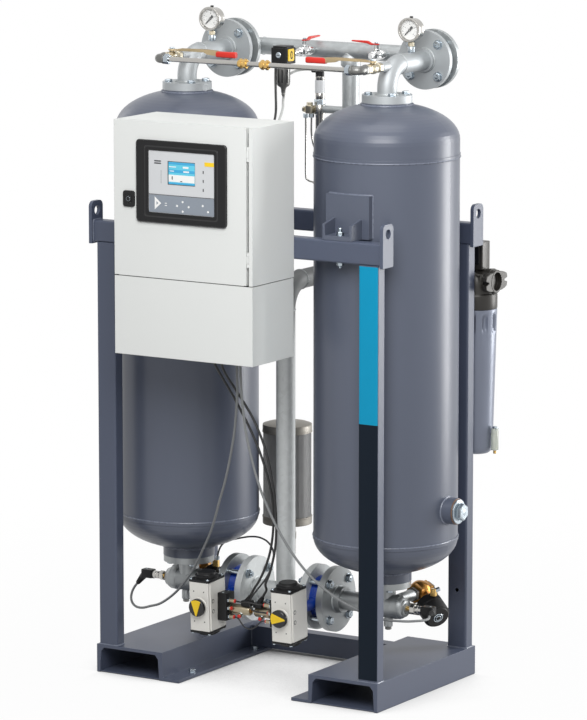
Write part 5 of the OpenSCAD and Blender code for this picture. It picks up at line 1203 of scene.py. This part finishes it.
# Exhaust valves: bronze bodies, unions, and round pneumatic drives
bodies = Part("exhaust_bodies", bronze)
drives = Part("exhaust_drives", black_plastic)
for side, brace, outlet in ((-1, (0.76, -0.2, -0.46), (0.15, 0.1, 0.98)),
                            (1, (0.76, -0.46, -0.46), (0.5, 0.6, 0.3))):
    bodies.move(side * EXHAUST_X, 0, EXHAUST_Z)
    bodies.use(bronze).hexagon(28, EXHAUST_IN, 16, Y, 2.0)
    bodies.turn([(22, 96), (26, 98), (31, 106), (33, 116), (31, 126), (26, 134), (22, 136)], Y)
    bodies.hexagon(28, EXHAUST_OUT - 16, 16, Y, 2.0)
    bodies.use(dull_steel).hexagon(21, EXHAUST_IN - 14, 13.6, Y, 1.4)
    bodies.hexagon(22, EXHAUST_OUT, 14, Y, 1.4)
    for part in (bodies, drives):
        part.move(side * EXHAUST_X, EXHAUST_MID, EXHAUST_Z)
    bodies.use(bronze).turn([(24, 8), (23, 24), (20, 27)], brace, 36)
    bodies.hexagon(24, 26, 12, brace, 1.4)
    bodies.use(zinc).turn([(15, 37), (15, 50.4)], brace, 32)
    drum = [(16, 50), (34, 50.2), (37, 52), (38, 55), (38, 78), (37.2, 79), (37.2, 81), (38, 82), (38, 107),
            (36.6, 110.6), (33.6, 112.4), (33.4, 114.6), (31, 117), (16, 117)]
    drives.use(black_plastic).turn(drum, brace, 56)
    drives.use(zinc)
    drives.turn([(14, 116.4), (14.6, 117.6), (13.4, 118.8), (11.6, 118.4), (11.4, 117)], brace, 40, loop=True)
    drives.turn([(8.6, 116.6), (8.8, 119.2), (7.6, 120.4), (6.2, 119.6), (6, 117)], brace, 32, loop=True)
    drives.use(black_plastic).turn([(5.6, 116.6), (5.4, 119.6), (3, 121.6)], brace, 24)
    _, up, out = basis(brace)
    port = out * 62 + up * 37
    cube = vec(7, 7, 7)
    drives.use(zinc).hexagon(7, 0, 7, up, 0.8, port)
    drives.use(brass).block(port + up * 6 - cube, port + up * 14 + cube, 2)
    drives.use(zinc).hexagon(6.4, 0, 18, outlet, 0.8, port + up * 14)
bodies.done("brass", replaces=["exhaust_valves"])
drives.done("black_plastic", replaces=["exhaust_actuators"])

# Silencer: pleated sleeve between lipped caps, domed top
PLEATS = 96
sleeve = Part("silencer_sleeve", pleats).move(*SILENCER)
outline = []
for k in range(PLEATS):
    for turn, r in ((0.0, 65.6), (0.3, 68.8), (0.6, 68.8), (0.9, 65.6)):
        a = math.tau * (k + turn) / PLEATS
        outline.append((r * math.cos(a), r * math.sin(a)))
sleeve.prism(outline, Z * 21, Z, 245, 0.4)
sleeve.use(silencer_cap)
sleeve.turn([(62, -0.4), (68, -0.3), (70.6, 2), (70.6, 18), (71.4, 19), (71.4, 22), (70, 23),
             (66, 23)], Z, 72)
sleeve.turn([(66, 264), (70, 264), (71.4, 265), (71.4, 268), (70.6, 269), (70.6, 283), (68.6, 287),
             (60, 290.4), (40, 293.6), (20, 295), (18, 296), (18, 301), (15, 303), (0, 303)], Z, 72)
sleeve.ring_weld(24.6, -Z, Z, 2.2)
sleeve.done("galvanised")


# Prefilter: cast head with a notched port flange, indicator box, fluted bowl and float drain
def port_outline():
    made = []
    for u, v in circle(1, 120):
        # Straight sides run from the round middle to the rounded ears
        ear = 59 if abs(u) > 0.97 else 0
        lean = 47 * abs(u) + 13
        r = max(33, min(lean / max(abs(v) + abs(u) * 0.62, 0.3) * 0.92, 60), ear)
        if abs(v) * r < 5.4 and abs(u) > 0.9:
            r = 45
        made.append((r * u, r * v))
    return made


head = Part("prefilter_top", dark_cast).move(PREFILTER_X, PREFILTER_Y, 0)
head.turn([(44, 1034), (57.4, 1034.2), (58, 1036), (58, 1072), (57, 1076), (54, 1079), (52, 1100), (50, 1124),
           (44, 1134), (30, 1138), (0, 1139)], Z, 64)
head.move(PREFILTER_X, PREFILTER_Y, INLET_Z)
head.turn([(30, -64), (33, -62), (33, 20), (35, 40), (36, 52)], X, 48)
head.ring_plate(port_outline(), 26, X * 50, X, 14, 120, 1.0)
head.ring_plate(circle(31, 72), 26, X * 63, X, 2, 72, 0.5)
head.use(mark_dark).turn([(26.4, 30), (26.4, 30.6)], X)
head.use(dark_cast).turn([(36, -64), (38, -62), (38, -52), (34, -50)], X)
for y in (-38, 38):
    head.block((-56, y - 4, -30), (30, y + 4, 20), 2)
head.block((-16, BEAM_FACE - PREFILTER_Y, -30), (16, -24, 26), 2)
head.move(PREFILTER_X, PREFILTER_Y, 0)
head.turn([(18, 1136), (18, 1143), (14, 1146)], Z, 32)
head.block((-29, -22, 1144), (29, 22, 1222), 3)
head.use(gloss_black).prism(rounded(38, 50, 3), (0, -21.6, 1184), -Y, 1.4, 0.5)
head.done("dark_cast", replaces=["prefilter_head"])

FLUTES, FLUTE_DEPTH, JAR_STEPS = 10, 8, 160
jar = Part("prefilter_jar", bowl_paint).move(PREFILTER_X, PREFILTER_Y, 0)
rings = []
for z, r, dent in ((622, 1, 0), (622, 30, 0), (623.4, 36, 0), (628, 42, 0), (636, 46, 0), (646, 47.4, 0),
                   (700, 49, 0), (800, 51.6, 0), (900, 54.2, 0), (964, 55.8, 0), (970, 56, 0.25),
                   (976, 56.2, 0.6), (984, 56.4, 0.9), (994, 56.6, 1.0), (1004, 56.8, 1.0), (1012, 57, 0.9),
                   (1017, 57.2, 0.55), (1021, 57.4, 0.1), (1026, 57.6, 0), (1033, 57, 0), (1034, 54, 0),
                   (1034.4, 43.6, 0), (1061, 43.6, 0)):
    ring = []
    for k in range(JAR_STEPS):
        a = math.tau * k / JAR_STEPS
        dip = FLUTE_DEPTH * dent * max(0.0, math.cos(FLUTES * a)) ** 0.7
        ring.append(vec(math.cos(a), math.sin(a), 0) * (r - dip) + Z * z)
    rings.append(ring)
jar.loft(rings)
jar.turn([(6, 30), (6, 58)], X, 24, Z * 684)
jar.move(PREFILTER_X + 61, PREFILTER_Y, 0)
jar.use(milky).turn([(6, 634), (9.6, 635), (10.8, 638), (10.8, 690), (9.6, 694), (6, 696)], Z, 32)
jar.use(zinc).turn([(4, 696), (7.4, 697), (7.4, 701), (5, 702)], Z, 24)
for u, v in circle(9.9, 4, math.pi / 4):
    jar.turn([(0.9, 634), (0.9, 697)], Z, 8, (u, v, 0))
jar.use(brass).turn([(3, 624), (4.4, 625), (4.4, 635)], Z, 18)
jar.done("bowl_paint", replaces=["prefilter_bowl"])

# Plain label fields wrapped round the front of the right post
LABEL_SPLIT, LABEL_TOP, LABEL_LOW = 792, 1222, 86


def wrap(part, low, high):
    paths = []
    for lift in (0.5, -0.4):
        shape = rounded(POST_W + 2 * lift, POST_D + 2 * lift, POST_ROUND + lift, 6)
        front = [(POST_X + u, v - POST_Y) for u, v in shape[-7:] + shape[:7] if v < 3 - POST_D / 2]
        paths.append(front)
    ring = paths[0] + paths[1][::-1]
    part.loft([[(u, v, z) for u, v in ring] for z in (low, high)])


label = Part("post_label", label_cyan)
wrap(label, LABEL_SPLIT, LABEL_TOP)
wrap(label.use(label_dark), LABEL_LOW, LABEL_SPLIT)
label.done("frame_paint")

bpy.context.view_layer.update()
low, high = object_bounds()
